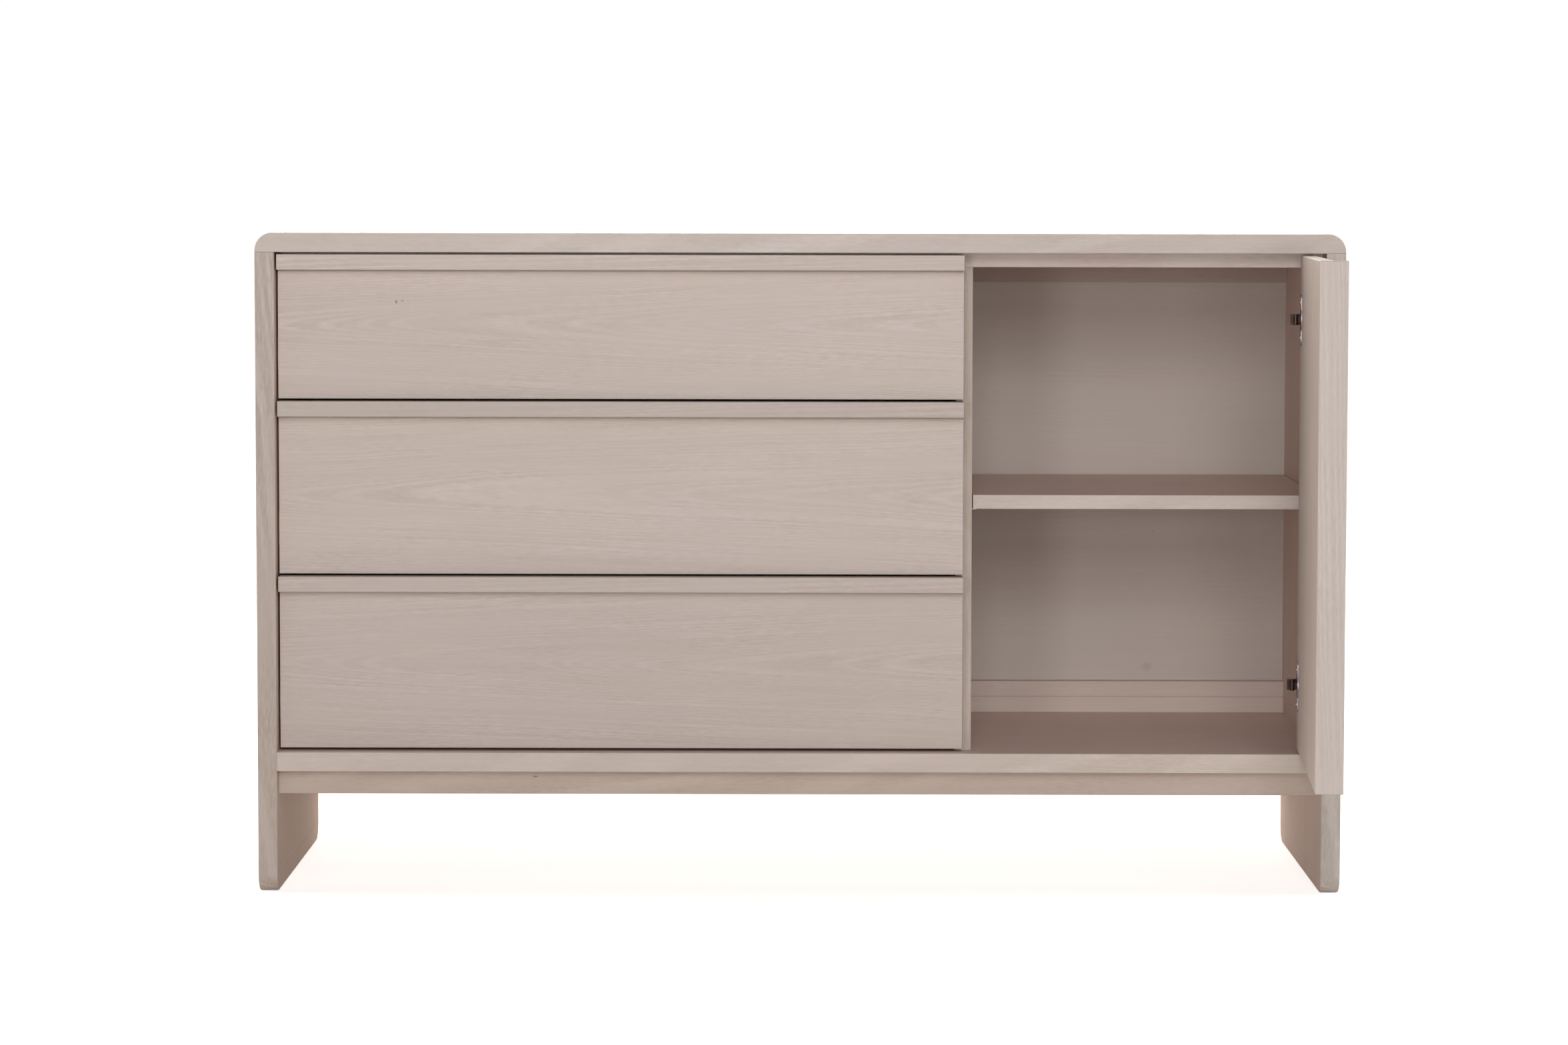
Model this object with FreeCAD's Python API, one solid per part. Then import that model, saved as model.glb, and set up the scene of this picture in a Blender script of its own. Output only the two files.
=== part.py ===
import FreeCAD, Part
import math
import os

# A low dresser: three drawers on the left, a cupboard with one hinged door on the right.
# X runs to the right, Y to the back, Z up. The origin lies on the floor, at the centre of the
# space that the dresser takes with its door open as drawn. Millimetres throughout.

# Case, driving dimensions
case_width = 1400.0
case_depth = 500.0
case_height = 853.7
shell_thickness = 24.6          # top, sides and bottom
arris = 0.8                     # chamfer that eases the edges of visible boards
foot_radius = 24.0              # round lower corners of the side panels, seen from the side
top_end_flat = 1.6              # upright part below the round ends of the top panel
seat_gap = 0.1                  # glue or assembly gap between boards that seat on each other

# Underframe
apron_clearance = 127.4         # floor to apron
apron_height = 31.0
apron_recess = 17.0
apron_thickness = 18.0

# Inner boards
inner_thickness = 18.6          # board under the top
inner_gap = 3.0                 # inner boards behind the backs of the fronts
partition_thickness = 21.0
rail_thickness = 18.0
rear_rail_top_height = 27.4
rear_rail_bottom_height = 43.7
back_thickness = 6.0
back_inset = 2.0                # back panel in front of the rear edges
shelf_thickness = 18.1
shelf_height = 313.9            # underside of the shelf above the bottom panel
shelf_setback = 9.0             # behind the inner boards' front edges
shelf_back_gap = 3.0
shelf_side_gap = 1.5

# Fronts: panels with a lip along one edge
front_thickness = 18.0
front_recess = 20.0             # panel face behind the case's front edges
pull_recess = 4.0               # lip face behind the case's front edges
pull_width = 20.0
side_reveal = 2.8               # gap between a front and the side panel
front_gap = 3.0                 # gap between two fronts
bottom_reveal = 4.0             # gap above the bottom panel
drawer_width_share = 0.6585     # drawer fronts' part of the width of drawer and door fronts
top_drawer_height = 186.0

# Drawer boxes
box_board = 12.0
box_bottom_thickness = 6.0
box_bottom_rise = 10.0          # box bottom above the box's lower edge
groove_depth = 5.0
groove_gap = 0.1
box_lift = 12.0                 # box above the lower edge of its front
box_headroom = 40.0             # box below the upper edge of its front
box_rear_gap = 11.0             # box in front of the rear rails

# Drawer runners, three nested members
runner_width = 12.7
runner_height = 45.5
runner_gauge = 1.2
runner_play = 0.3               # running gap between nested members
runner_rear_gap = 21.0          # runner's end in front of the back of the box
runner_setback = 4.0            # behind the back of the fronts
runner_rise = 45.0              # centre line above the box's lower edge
runner_flange = 8.0
middle_member_cut = 8.0         # the middle member is shorter by this

# Fasteners, as radius and length
dowel_radius = 4.0
dowel_length = 34.0
dowel_in_face = 12.0            # length of dowel in the face that it meets
dowel_end_gap = 0.8
fit_gap = 0.05                  # clearance of a fastener in its hole
cam_radius = 7.5
cam_height = 12.5
cam_from_end = 24.0
cam_bolt_radius = 3.0
cam_bolt_in_side = 11.0
board_screw_shank = 2.0
board_screw_head = 4.0
board_screw_length = 30.0
back_screw_shank = 1.5
back_screw_head = 3.0
back_screw_length = 20.0
front_screw_shank = 2.0
front_screw_head = 4.2
front_screw_rise = 2.4          # head above the surface
front_screw_length = 24.0
small_screw_shank = 1.8         # screws of the runners and the hinges
small_screw_head = 3.4
runner_screw_rise = 1.2
runner_screw_length = 10.5
hinge_screw_rise = 1.6
hinge_screw_length = 11.5
shelf_pin_radius = 2.5
shelf_pin_in_board = 9.0
shelf_pin_reach = 8.0
shelf_pin_setback = 37.0        # from the shelf's front and back edges

# Door hinge. Places are given with the door closed.
door_rest_angle = 86.6          # how far the door stands open as drawn
link_turn_share = 0.4           # turn of the link per turn of the door
cup_radius = 17.5
cup_depth = 13.0
cup_wall = 0.8
cup_margin = 3.5                # door edge to the cup's bore
cup_fit = 0.1
flange_height = 65.0
flange_width = 25.0
flange_thickness = 1.2
flange_screw_spacing = 45.0
flange_screw_offset = 7.5
hinge_inset = 82.5              # hinge centre from the door's upper and lower edge
cup_pivot_from_edge = 14.5
cup_pivot_depth = 8.7           # below the back of the door
arm_pivot_from_side = 35.9
arm_pivot_depth = 7.0           # in front of the back of the closed door
pin_radius = 1.5
pin_play = 0.05                 # running clearance of the link on its pins
pin_press_gap = 0.01            # clearance of a pin in the arm and in the cup
link_eye_radius = 2.6
link_bar = 1.6
link_bow = 3.0                  # the link bends round the rim of the cup
link_half_height = 4.0
arm_half_height = 7.0
arm_cheek = 2.7
arm_eye_radius = 2.6
arm_nose_right = 1.2            # nose to the right of its pivot, clear of the open door's corner
arm_gauge = 2.0
arm_behind_door = 4.0           # arm's cross strip behind the back of the closed door
arm_nose_overhang = 3.0
arm_length = 62.0
arm_height = 14.9               # arm's outer face above the side panel
plate_thickness = 2.5
plate_half_height = 25.0
plate_width = 30.0
plate_setback = 62.0            # plate's front edge behind the front plane
plate_screw_spacing = 32.0
rib_length = 44.0
rib_play = 0.3

# Places that follow from the sizes above. X is from the centre, Z from the floor, and a depth
# is measured behind the plane of the case's front edges.
side_face = case_width / 2 - shell_thickness
bottom_top = apron_clearance + apron_height + shell_thickness
top_underside = case_height - shell_thickness
front_back = front_recess + front_thickness
inner_top_underside = top_underside - inner_thickness
back_face = case_depth - back_inset - back_thickness
rail_face = back_face - rail_thickness
drawer_front_width = drawer_width_share * (2 * (side_face - side_reveal) - front_gap)
drawer_front_left = side_reveal - side_face
drawer_front_right = drawer_front_left + drawer_front_width
door_left = drawer_front_right + front_gap
door_right = side_face - side_reveal
partition_left = drawer_front_right + front_gap / 2 - partition_thickness / 2
partition_right = partition_left + partition_thickness
box_depth = rail_face - box_rear_gap - front_back
runner_length = box_depth - runner_setback - runner_rear_gap    # also the drawer's travel
fronts_top = top_underside - front_gap
fronts_bottom = bottom_top + bottom_reveal
inner_front = front_back + inner_gap
shelf_front = inner_front + shelf_setback
shelf_underside = bottom_top + shelf_height
shelf_back = back_face - shelf_back_gap
low_drawer_height = (fronts_top - fronts_bottom - top_drawer_height - 2 * front_gap) / 2
hinge_heights = (fronts_bottom + hinge_inset, fronts_top - hinge_inset)
arm_pivot = (side_face - arm_pivot_from_side, front_back - arm_pivot_depth)
cup_pivot = (door_right - cup_pivot_from_edge, front_back - cup_pivot_depth)
cup_centre_x = door_right - cup_margin - cup_radius

# Screw kinds, as shank radius, head radius, rise of the head and length. A screw whose head
# doesn't rise is countersunk.
BOARD_SCREW = (board_screw_shank, board_screw_head, 0, board_screw_length)
BACK_SCREW = (back_screw_shank, back_screw_head, 0, back_screw_length)
FRONT_SCREW = (front_screw_shank, front_screw_head, front_screw_rise, front_screw_length)
RUNNER_SCREW = (small_screw_shank, small_screw_head, runner_screw_rise, runner_screw_length)
HINGE_SCREW = (small_screw_shank, small_screw_head, hinge_screw_rise, hinge_screw_length)

DRAWERS = ("upper", "middle", "lower")
X_WAY = FreeCAD.Vector(1, 0, 0)
Y_WAY = FreeCAD.Vector(0, 1, 0)
Z_WAY = FreeCAD.Vector(0, 0, 1)


# Helpers


def turned_point(point, centre, angle):
    """A point (x, depth) turned about a centre by an angle in degrees."""
    cosine, sine = math.cos(math.radians(angle)), math.sin(math.radians(angle))
    across, behind = point[0] - centre[0], point[1] - centre[1]
    return (centre[0] + across * cosine - behind * sine, centre[1] + across * sine + behind * cosine)


def cup_pivot_at(angle):
    """Place of the cup's pivot with the door open by an angle."""
    return turned_point(cup_pivot, arm_pivot, -link_turn_share * angle)


def door_point_at(point, angle):
    """Place of a point of the closed door with the door open by an angle."""
    moved = cup_pivot_at(angle)
    carried = (point[0] + moved[0] - cup_pivot[0], point[1] + moved[1] - cup_pivot[1])
    return turned_point(carried, moved, angle)


def door_reach():
    """How far the open door stands in front of the case."""
    corners = (
        (door_left, pull_recess + arris),
        (door_left, front_back - arris),
        (door_left + arris, front_back),
        (door_left + arris, pull_recess),
    )
    return -min(door_point_at(corner, door_rest_angle)[1] for corner in corners)


front_y = (door_reach() - case_depth) / 2


def spot(x, depth, z):
    """A point from x, depth and height."""
    return FreeCAD.Vector(x, front_y + depth, z)


def block(x_span, depth_span, z_span):
    """A box between three pairs of limits."""
    size = [high - low for low, high in (x_span, depth_span, z_span)]
    return Part.makeBox(*size, spot(x_span[0], depth_span[0], z_span[0]))


def eased(shape):
    """A board with every edge chamfered."""
    return shape.makeChamfer(arris, shape.Edges)


def rod(start, way, radius, length):
    """A round bar that starts at a point and runs along a direction."""
    return Part.makeCylinder(radius, length, start, way)


def screw(seat, way, kind, grow=0.0):
    """A screw whose head seats at a point and whose shank runs along a direction.

    Grown, it is the hole for that screw.
    """
    shank, head, rise, length = kind
    shank, head = shank + grow, head + grow
    stem = rod(seat, way, shank, length + grow)
    if rise > 0:
        top = rod(seat - way * rise, way, head, rise)
    else:
        top = Part.makeCone(head, shank, head - shank, seat, way)
    return top.fuse(stem).removeSplitter()


def group(shapes):
    """Separate solids kept together as one node."""
    return Part.makeCompound(shapes)


def drill(parts, names, tool):
    """Cut a tool out of the named boards."""
    for name in names:
        parts[name] = parts[name].cut(tool)


# Case


def side_panel(side):
    """A side panel with round lower corners, on the left (-1) or the right (1)."""
    inner = side * side_face
    back, top, bend = case_depth, top_underside - seat_gap, foot_radius
    middle = foot_radius * (1 - math.sqrt(0.5))
    edges = [
        Part.LineSegment(spot(inner, bend, 0), spot(inner, back - bend, 0)),
        Part.Arc(spot(inner, back - bend, 0), spot(inner, back - middle, middle), spot(inner, back, bend)),
        Part.LineSegment(spot(inner, back, bend), spot(inner, back, top)),
        Part.LineSegment(spot(inner, back, top), spot(inner, 0, top)),
        Part.LineSegment(spot(inner, 0, top), spot(inner, 0, bend)),
        Part.Arc(spot(inner, 0, bend), spot(inner, middle, middle), spot(inner, bend, 0)),
    ]
    outline = Part.Face(Part.Wire([edge.toShape() for edge in edges]))
    return eased(outline.extrude(X_WAY * side * shell_thickness))


def top_panel():
    """The top panel, whose ends round over down to the seam with the sides."""
    half = case_width / 2
    panel = block((-half, half), (0, case_depth), (top_underside, case_height))
    ends = [
        edge
        for edge in panel.Edges
        if edge.BoundBox.ZMin > top_underside and abs(edge.CenterOfMass.x) > half - arris
    ]
    panel = panel.makeFillet(shell_thickness - top_end_flat, ends)
    return panel.makeChamfer(arris, [edge for edge in panel.Edges if lies_front_or_back(edge)])


def lies_front_or_back(edge):
    """True for an edge that lies in the case's front or rear plane."""
    return edge.BoundBox.YLength < arris


def partition():
    """The upright between drawers and cupboard, notched at the back for the two rails."""
    board = block(
        (partition_left, partition_right),
        (inner_front, back_face - seat_gap),
        (bottom_top + seat_gap, inner_top_underside - seat_gap),
    )
    across = (partition_left - arris, partition_right + arris)
    behind = (rail_face - seat_gap, back_face + seat_gap)
    low = (bottom_top - seat_gap, bottom_top + rear_rail_bottom_height + seat_gap)
    high = (inner_top_underside - rear_rail_top_height - seat_gap, inner_top_underside + seat_gap)
    return board.cut([block(across, behind, low), block(across, behind, high)])


def case_boards():
    """The boards of the case."""
    between = (seat_gap - side_face, side_face - seat_gap)
    under = (bottom_top - shell_thickness, bottom_top)
    inner_depths = (inner_front, back_face - seat_gap)
    front_apron = (apron_recess, apron_recess + apron_thickness)
    back_z = (bottom_top + seat_gap, top_underside - seat_gap)
    apron_z = (apron_clearance, under[0] - seat_gap)
    rear_apron = (case_depth - apron_recess - apron_thickness, case_depth - apron_recess)
    rails = (rail_face, back_face - seat_gap)
    low_rail = (bottom_top + seat_gap, bottom_top + rear_rail_bottom_height)
    high_rail = (inner_top_underside - rear_rail_top_height, inner_top_underside - seat_gap)
    return {
        "top_panel": top_panel(),
        "side_panel_left": side_panel(-1),
        "side_panel_right": side_panel(1),
        "bottom_panel": eased(block(between, (0, case_depth), under)),
        "inner_top": eased(block(between, inner_depths, (inner_top_underside, back_z[1]))),
        "partition": partition(),
        "front_apron": eased(block(between, front_apron, apron_z)),
        "rear_apron": eased(block(between, rear_apron, apron_z)),
        "rear_rail_top": eased(block(between, rails, high_rail)),
        "rear_rail_bottom": eased(block(between, rails, low_rail)),
        "back_panel": block(between, (back_face, back_face + back_thickness), back_z),
        "shelf": eased(
            block(
                (partition_right + shelf_side_gap, side_face - shelf_side_gap),
                (shelf_front, shelf_back),
                (shelf_underside, shelf_underside + shelf_thickness),
            )
        ),
    }


# Case fasteners


def between_points(low, high, shares):
    """Places at the given shares of the way from low to high."""
    return [low + share * (high - low) for share in shares]


def add_dowel(parts, dowels, faced, ended, point, way):
    """A dowel across the seam between a face and a board's end, with its holes."""
    start = point - way * dowel_in_face
    dowels.append(rod(start, way, dowel_radius, dowel_length))
    hole_length = dowel_length + 2 * dowel_end_gap
    hole = rod(start - way * dowel_end_gap, way, dowel_radius + fit_gap, hole_length)
    drill(parts, (faced, ended), hole)


def fit_dowels(parts):
    """All dowels of the case."""
    board_shares, upright_shares, middle_share = (0.12, 0.5, 0.88), (0.2, 0.8), (0.5,)
    side_end_shares = (0.06, 0.4, 0.76)
    apron_z = apron_clearance + apron_height / 2
    apron_depths = (apron_recess, apron_recess + apron_thickness)
    rear_apron_depths = (case_depth - apron_depths[1], case_depth - apron_depths[0])
    top_rail_z = inner_top_underside - rear_rail_top_height / 2
    bottom_rail_z = bottom_top + rear_rail_bottom_height / 2
    rail_depths = (rail_face, back_face)
    end_joints = (
        ("bottom_panel", bottom_top - shell_thickness / 2, (0, case_depth), board_shares),
        ("inner_top", inner_top_underside + inner_thickness / 2, (inner_front, back_face), board_shares),
        ("front_apron", apron_z, apron_depths, middle_share),
        ("rear_apron", apron_z, rear_apron_depths, middle_share),
        ("rear_rail_top", top_rail_z, rail_depths, middle_share),
        ("rear_rail_bottom", bottom_rail_z, rail_depths, middle_share),
    )
    dowels = []
    for name, z, depths, shares in end_joints:
        for depth in between_points(*depths, shares):
            for side, panel in ((-1, "side_panel_left"), (1, "side_panel_right")):
                add_dowel(parts, dowels, panel, name, spot(side * side_face, depth, z), X_WAY * -side)
    middle_x = (partition_left + partition_right) / 2
    for depth in between_points(inner_front, rail_face, upright_shares):
        foot, head = spot(middle_x, depth, bottom_top), spot(middle_x, depth, inner_top_underside)
        add_dowel(parts, dowels, "bottom_panel", "partition", foot, Z_WAY)
        add_dowel(parts, dowels, "inner_top", "partition", head, Z_WAY * -1)
    for side, panel in ((-1, "side_panel_left"), (1, "side_panel_right")):
        for depth in between_points(0, case_depth, side_end_shares):
            point = spot(side * (side_face + shell_thickness / 2), depth, top_underside)
            add_dowel(parts, dowels, "top_panel", panel, point, Z_WAY * -1)
    parts["case_dowels"] = group(dowels)


def fit_cams(parts):
    """Cam fittings that pull the bottom panel and the inner top against the sides."""
    cam_shares = (0.3, 0.7)
    bolt_length = cam_from_end - cam_radius + cam_bolt_in_side
    fittings = []
    boards = (
        ("bottom_panel", bottom_top - shell_thickness, shell_thickness, Z_WAY, (0, case_depth)),
        ("inner_top", top_underside - seat_gap, inner_thickness, Z_WAY * -1, (inner_front, back_face)),
    )
    for name, face_z, thickness, way, depths in boards:
        axis_z = face_z + way.z * thickness / 2
        for depth in between_points(*depths, cam_shares):
            for side, panel in ((-1, "side_panel_left"), (1, "side_panel_right")):
                centre = spot(side * (side_face - cam_from_end), depth, face_z)
                start = spot(side * (side_face + cam_bolt_in_side), depth, axis_z)
                inward = X_WAY * -side
                fittings.append(rod(centre, way, cam_radius, cam_height))
                fittings.append(rod(start, inward, cam_bolt_radius, bolt_length - fit_gap))
                housing = rod(centre, way, cam_radius + fit_gap, cam_height + fit_gap)
                bore_start, bore_length = start - inward * fit_gap, bolt_length + fit_gap
                drill(parts, (name,), housing)
                drill(parts, (name, panel), rod(bore_start, inward, cam_bolt_radius + fit_gap, bore_length))
    parts["cam_fittings"] = group(fittings)


def fit_top_screws(parts):
    """Screws that hold the top panel from below, through the inner top."""
    across_shares, depth_shares = (0.06, 0.36, 0.64, 0.94), (0.15, 0.85)
    screws = []
    for x in between_points(-side_face, side_face, across_shares):
        for depth in between_points(inner_front, back_face, depth_shares):
            seat = spot(x, depth, inner_top_underside)
            screws.append(screw(seat, Z_WAY, BOARD_SCREW))
            drill(parts, ("inner_top", "top_panel"), screw(seat, Z_WAY, BOARD_SCREW, fit_gap))
    parts["top_screws"] = group(screws)


def fit_back_screws(parts):
    """Screws of the back panel, into the rails, the inner top and the partition."""
    across_shares, upright_shares = (0.03, 0.22, 0.41, 0.78, 0.97), (0.3, 0.5, 0.7)
    rear = back_face + back_thickness
    inward = Y_WAY * -1
    middle_x = (partition_left + partition_right) / 2
    places = []
    for x in between_points(-side_face, side_face, across_shares):
        places.append((spot(x, rear, bottom_top + rear_rail_bottom_height / 2), "rear_rail_bottom"))
        places.append((spot(x, rear, inner_top_underside - rear_rail_top_height / 2), "rear_rail_top"))
    for z in between_points(bottom_top, inner_top_underside, upright_shares):
        places.append((spot(middle_x, rear, z), "partition"))
    screws = []
    for seat, board in places:
        screws.append(screw(seat, inward, BACK_SCREW))
        drill(parts, ("back_panel", board), screw(seat, inward, BACK_SCREW, fit_gap))
    parts["back_screws"] = group(screws)


def fit_shelf_pins(parts):
    """Four pins that carry the shelf, in the partition and the right side panel."""
    z = shelf_underside - shelf_pin_radius - fit_gap
    pins = []
    for depth in (shelf_front + shelf_pin_setback, shelf_back - shelf_pin_setback):
        for face, way, board in ((partition_right, -1, "partition"), (side_face, 1, "side_panel_right")):
            start = spot(face - way * shelf_pin_reach, depth, z)
            length = shelf_pin_reach + shelf_pin_in_board
            pins.append(rod(start, X_WAY * way, shelf_pin_radius, length))
            hole_length = length + dowel_end_gap
            drill(parts, (board,), rod(start, X_WAY * way, shelf_pin_radius + fit_gap, hole_length))
    parts["shelf_pins"] = group(pins)


# Drawers


def drawer_heights():
    """Lower and upper edge of each drawer front, from the top drawer down."""
    spans, top = {}, fronts_top
    for name, height in zip(DRAWERS, (top_drawer_height, low_drawer_height, low_drawer_height)):
        spans[name] = (top - height, top)
        top -= height + front_gap
    return spans


def box_limits(front_span):
    """Outer limits of a drawer box behind its front."""
    return {
        "x": (runner_width - side_face, partition_left - runner_width),
        "depth": (front_back + seat_gap, front_back + box_depth),
        "z": (front_span[0] + box_lift, front_span[1] - box_headroom),
    }


def drawer_boards(name, front_span):
    """Front, lip and box of one drawer."""
    limits = box_limits(front_span)
    (left, right), (near, far), (low, high) = limits["x"], limits["depth"], limits["z"]
    inner = (left + box_board + seat_gap, right - box_board - seat_gap)
    width = (drawer_front_left, drawer_front_right)
    lip_low = front_span[1] - pull_width
    floor = (low + box_bottom_rise, low + box_bottom_rise + box_bottom_thickness)
    edge = box_board - groove_depth + groove_gap
    bottom = block((left + edge, right - edge), (near + edge, far - edge), floor)
    wall = box_board - groove_depth
    groove = block(
        (left + wall, right - wall),
        (near + wall, far - wall),
        (floor[0] - groove_gap, floor[1] + groove_gap),
    )
    box = {
        "box_front": block(inner, (near, near + box_board), (low, high)),
        "box_back": block(inner, (far - box_board, far), (low, high)),
        "box_side_left": block((left, left + box_board), (near, far), (low, high)),
        "box_side_right": block((right - box_board, right), (near, far), (low, high)),
    }
    boards = {f"drawer_{name}_{piece}": eased(board).cut(groove) for piece, board in box.items()}
    boards[f"drawer_{name}_bottom"] = bottom
    boards[f"drawer_{name}_front"] = eased(
        block(width, (front_recess, front_back), (front_span[0], lip_low - seat_gap))
    )
    boards[f"drawer_{name}_pull"] = eased(block(width, (pull_recess, front_back), (lip_low, front_span[1])))
    return boards


def channel(web, flanges, half_height, depths, z):
    """A C-shaped runner member: an upright web and two flanges, from their limits in X."""
    wall = block(sorted(web), depths, (z - half_height, z + half_height))
    upper = block(sorted(flanges), depths, (z + half_height - runner_gauge, z + half_height))
    lower = block(sorted(flanges), depths, (z - half_height, z - half_height + runner_gauge))
    return wall.fuse([upper, lower]).removeSplitter()


def fit_runners(parts, name, front_span, case_members, case_screws):
    """The pair of runners of one drawer, with the screws of its members and of its front."""
    limits = box_limits(front_span)
    z = limits["z"][0] + runner_rise
    start = front_back + runner_setback
    outer_half = runner_height / 2
    step = runner_gauge + runner_play
    web = runner_width - runner_gauge
    full = (start, start + runner_length)
    middle_depths = (start, start + runner_length - middle_member_cut)
    screw_shares = (0.1, 0.62)
    middles, inners, screws = [], [], []
    sides = ((-side_face, 1, "side_panel_left", "left"), (partition_left, -1, "partition", "right"))
    for face, way, board, hand in sides:
        def across(*distances):
            """Places in X at distances from the face that carries the runner."""
            return [face + way * distance for distance in distances]

        member = channel(across(0, runner_gauge), across(0, runner_flange), outer_half, full, z)
        middle = channel(
            across(step, step + runner_gauge),
            across(step, step + runner_flange),
            outer_half - step,
            middle_depths,
            z,
        )
        inner = channel(
            across(web, runner_width),
            across(runner_width - runner_flange, runner_width),
            outer_half - 2 * step,
            full,
            z,
        )
        for depth in between_points(*full, screw_shares):
            into_case = X_WAY * -way
            seat = spot(face, depth, z)
            case_screws.append(screw(seat, into_case, RUNNER_SCREW))
            hole = screw(seat, into_case, RUNNER_SCREW, fit_gap)
            member = member.cut(hole)
            drill(parts, (board,), hole)
            seat = spot(face + way * web, depth, z)
            into_box = X_WAY * way
            screws.append(screw(seat, into_box, RUNNER_SCREW))
            hole = screw(seat, into_box, RUNNER_SCREW, fit_gap)
            inner = inner.cut(hole)
            drill(parts, (f"drawer_{name}_box_side_{hand}",), hole)
        case_members.append(member)
        middles.append(middle)
        inners.append(inner)
    parts[f"runner_middle_{name}"] = group(middles)
    parts[f"runner_drawer_{name}"] = group(inners)
    screws += front_screws(parts, name, limits)
    parts[f"drawer_{name}_screws"] = group(screws)


def front_screws(parts, name, limits):
    """Screws from inside the box into the drawer front."""
    across_shares, upright_shares = (0.12, 0.88), (0.3, 0.75)
    seat_depth = limits["depth"][0] + box_board
    screws = []
    for x in between_points(*limits["x"], across_shares):
        for z in between_points(*limits["z"], upright_shares):
            seat = spot(x, seat_depth, z)
            screws.append(screw(seat, Y_WAY * -1, FRONT_SCREW))
            hole = screw(seat, Y_WAY * -1, FRONT_SCREW, fit_gap)
            drill(parts, (f"drawer_{name}_box_front", f"drawer_{name}_front"), hole)
    return screws


def fit_drawers(parts):
    """Three drawers with their runners."""
    case_members, case_screws = [], []
    for name, span in drawer_heights().items():
        parts.update(drawer_boards(name, span))
        fit_runners(parts, name, span, case_members, case_screws)
    parts["runner_case_members"] = group(case_members)
    parts["runner_case_screws"] = group(case_screws)


# Door and hinges. They are built closed, and opened at the end.


def door_boards():
    """Door panel and the upright lip along its free edge."""
    z = (fronts_bottom, fronts_top)
    lip_right = door_left + pull_width
    return {
        "door_panel": eased(block((lip_right + seat_gap, door_right), (front_recess, front_back), z)),
        "door_pull": eased(block((door_left, lip_right), (pull_recess, front_back), z)),
    }


def link_outline():
    """The bowed link with a round eye at each end, as a flat face on the floor plane."""
    first, last = spot(*arm_pivot, 0), spot(*cup_pivot, 0)
    along = (last - first).normalize()
    across = FreeCAD.Vector(along.y, -along.x, 0)
    half = across * (link_bar / 2)
    middle = (first + last) * 0.5 + across * link_bow
    edges = [
        Part.Arc(first + half, middle + half, last + half),
        Part.LineSegment(last + half, last - half),
        Part.Arc(last - half, middle - half, first - half),
        Part.LineSegment(first - half, first + half),
    ]
    bar = Part.Face(Part.Wire([edge.toShape() for edge in edges]))
    eyes = [Part.Face(Part.Wire(Part.makeCircle(link_eye_radius, point))) for point in (first, last)]
    return bar.fuse(eyes).removeSplitter()


def pivot_pin(pivot, z, half_length, play=0.0):
    """An upright pin at a pivot, or with play the hole around it."""
    return rod(spot(*pivot, z - half_length), Z_WAY, pin_radius + play, 2 * half_length)


def cup_pin_half_length():
    """Half the length of the cup's pin, which ends inside the cup's wall."""
    offset = cup_pivot[0] - cup_centre_x
    middle_of_wall = cup_radius - cup_wall / 2
    return math.sqrt(middle_of_wall ** 2 - offset ** 2) - cup_wall / 2


def hinge_cup(z):
    """The cup with its flange, sunk into the door."""
    inward = Y_WAY * -1
    centre = spot(cup_centre_x, front_back, z)
    cup = rod(centre, inward, cup_radius, cup_depth)
    half_wide, half_high = flange_width / 2, flange_height / 2
    flange = block(
        (cup_centre_x - half_wide, cup_centre_x + half_wide),
        (front_back, front_back + flange_thickness),
        (z - half_high, z + half_high),
    )
    corners = [edge for edge in flange.Edges if edge.BoundBox.YLength > flange_thickness / 2]
    flange = flange.makeFillet(half_wide / 2, corners)
    ring = rod(centre, Y_WAY, cup_radius + cup_wall, flange_thickness)
    mouth = centre + Y_WAY * flange_thickness
    hollow = rod(mouth, inward, cup_radius - cup_wall, cup_depth + flange_thickness - cup_wall)
    return cup.fuse([flange, ring]).cut(hollow).removeSplitter()


def hinge_arm(z):
    """The cranked arm, from its nose in the cup back to the mounting plate."""
    pivot_x, pivot_depth = arm_pivot
    strip = (front_back + arm_behind_door, front_back + arm_behind_door + arm_gauge)
    outer = side_face - arm_height
    inner = side_face - plate_thickness - rib_play
    full = (z - arm_half_height, z + arm_half_height)
    cheeks = ((full[0], full[0] + arm_cheek), (full[1] - arm_cheek, full[1]))
    nose_width = (pivot_x - arm_eye_radius, pivot_x + arm_nose_right)
    nose_bar = block(nose_width, (pivot_depth, strip[1]), cheeks[0])
    nose = nose_bar.fuse(rod(spot(*arm_pivot, cheeks[0][0]), Z_WAY, arm_eye_radius, arm_cheek))
    other_nose = nose.copy()
    other_nose.translate(Z_WAY * (cheeks[1][0] - cheeks[0][0]))
    strip_left = pivot_x - arm_eye_radius - arm_nose_overhang
    cross = block((strip_left, outer + arm_gauge), strip, full)
    web = block((outer, outer + arm_gauge), (strip[0], strip[0] + arm_length), full)
    walls = [block((outer, inner), (strip[1], strip[0] + arm_length), span) for span in cheeks]
    arm = cross.fuse([web, nose, other_nose] + walls).removeSplitter()
    return arm.cut(pivot_pin(arm_pivot, z, arm_half_height, pin_press_gap))


def hinge_plate(z):
    """The mounting plate on the side panel, with the rib that the arm straddles."""
    thickness = (side_face - plate_thickness, side_face)
    upright = (z - plate_half_height, z + plate_half_height)
    wings = block(thickness, (plate_setback, plate_setback + plate_width), upright)
    rib_half = arm_half_height - arm_cheek - rib_play
    rib_top = side_face - arm_height + arm_gauge + rib_play
    middle = plate_setback + plate_width / 2
    rib_depths = (middle - rib_length / 2, middle + rib_length / 2)
    rib = block((rib_top, thickness[1]), rib_depths, (z - rib_half, z + rib_half))
    return wings.fuse(rib).removeSplitter()


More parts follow.
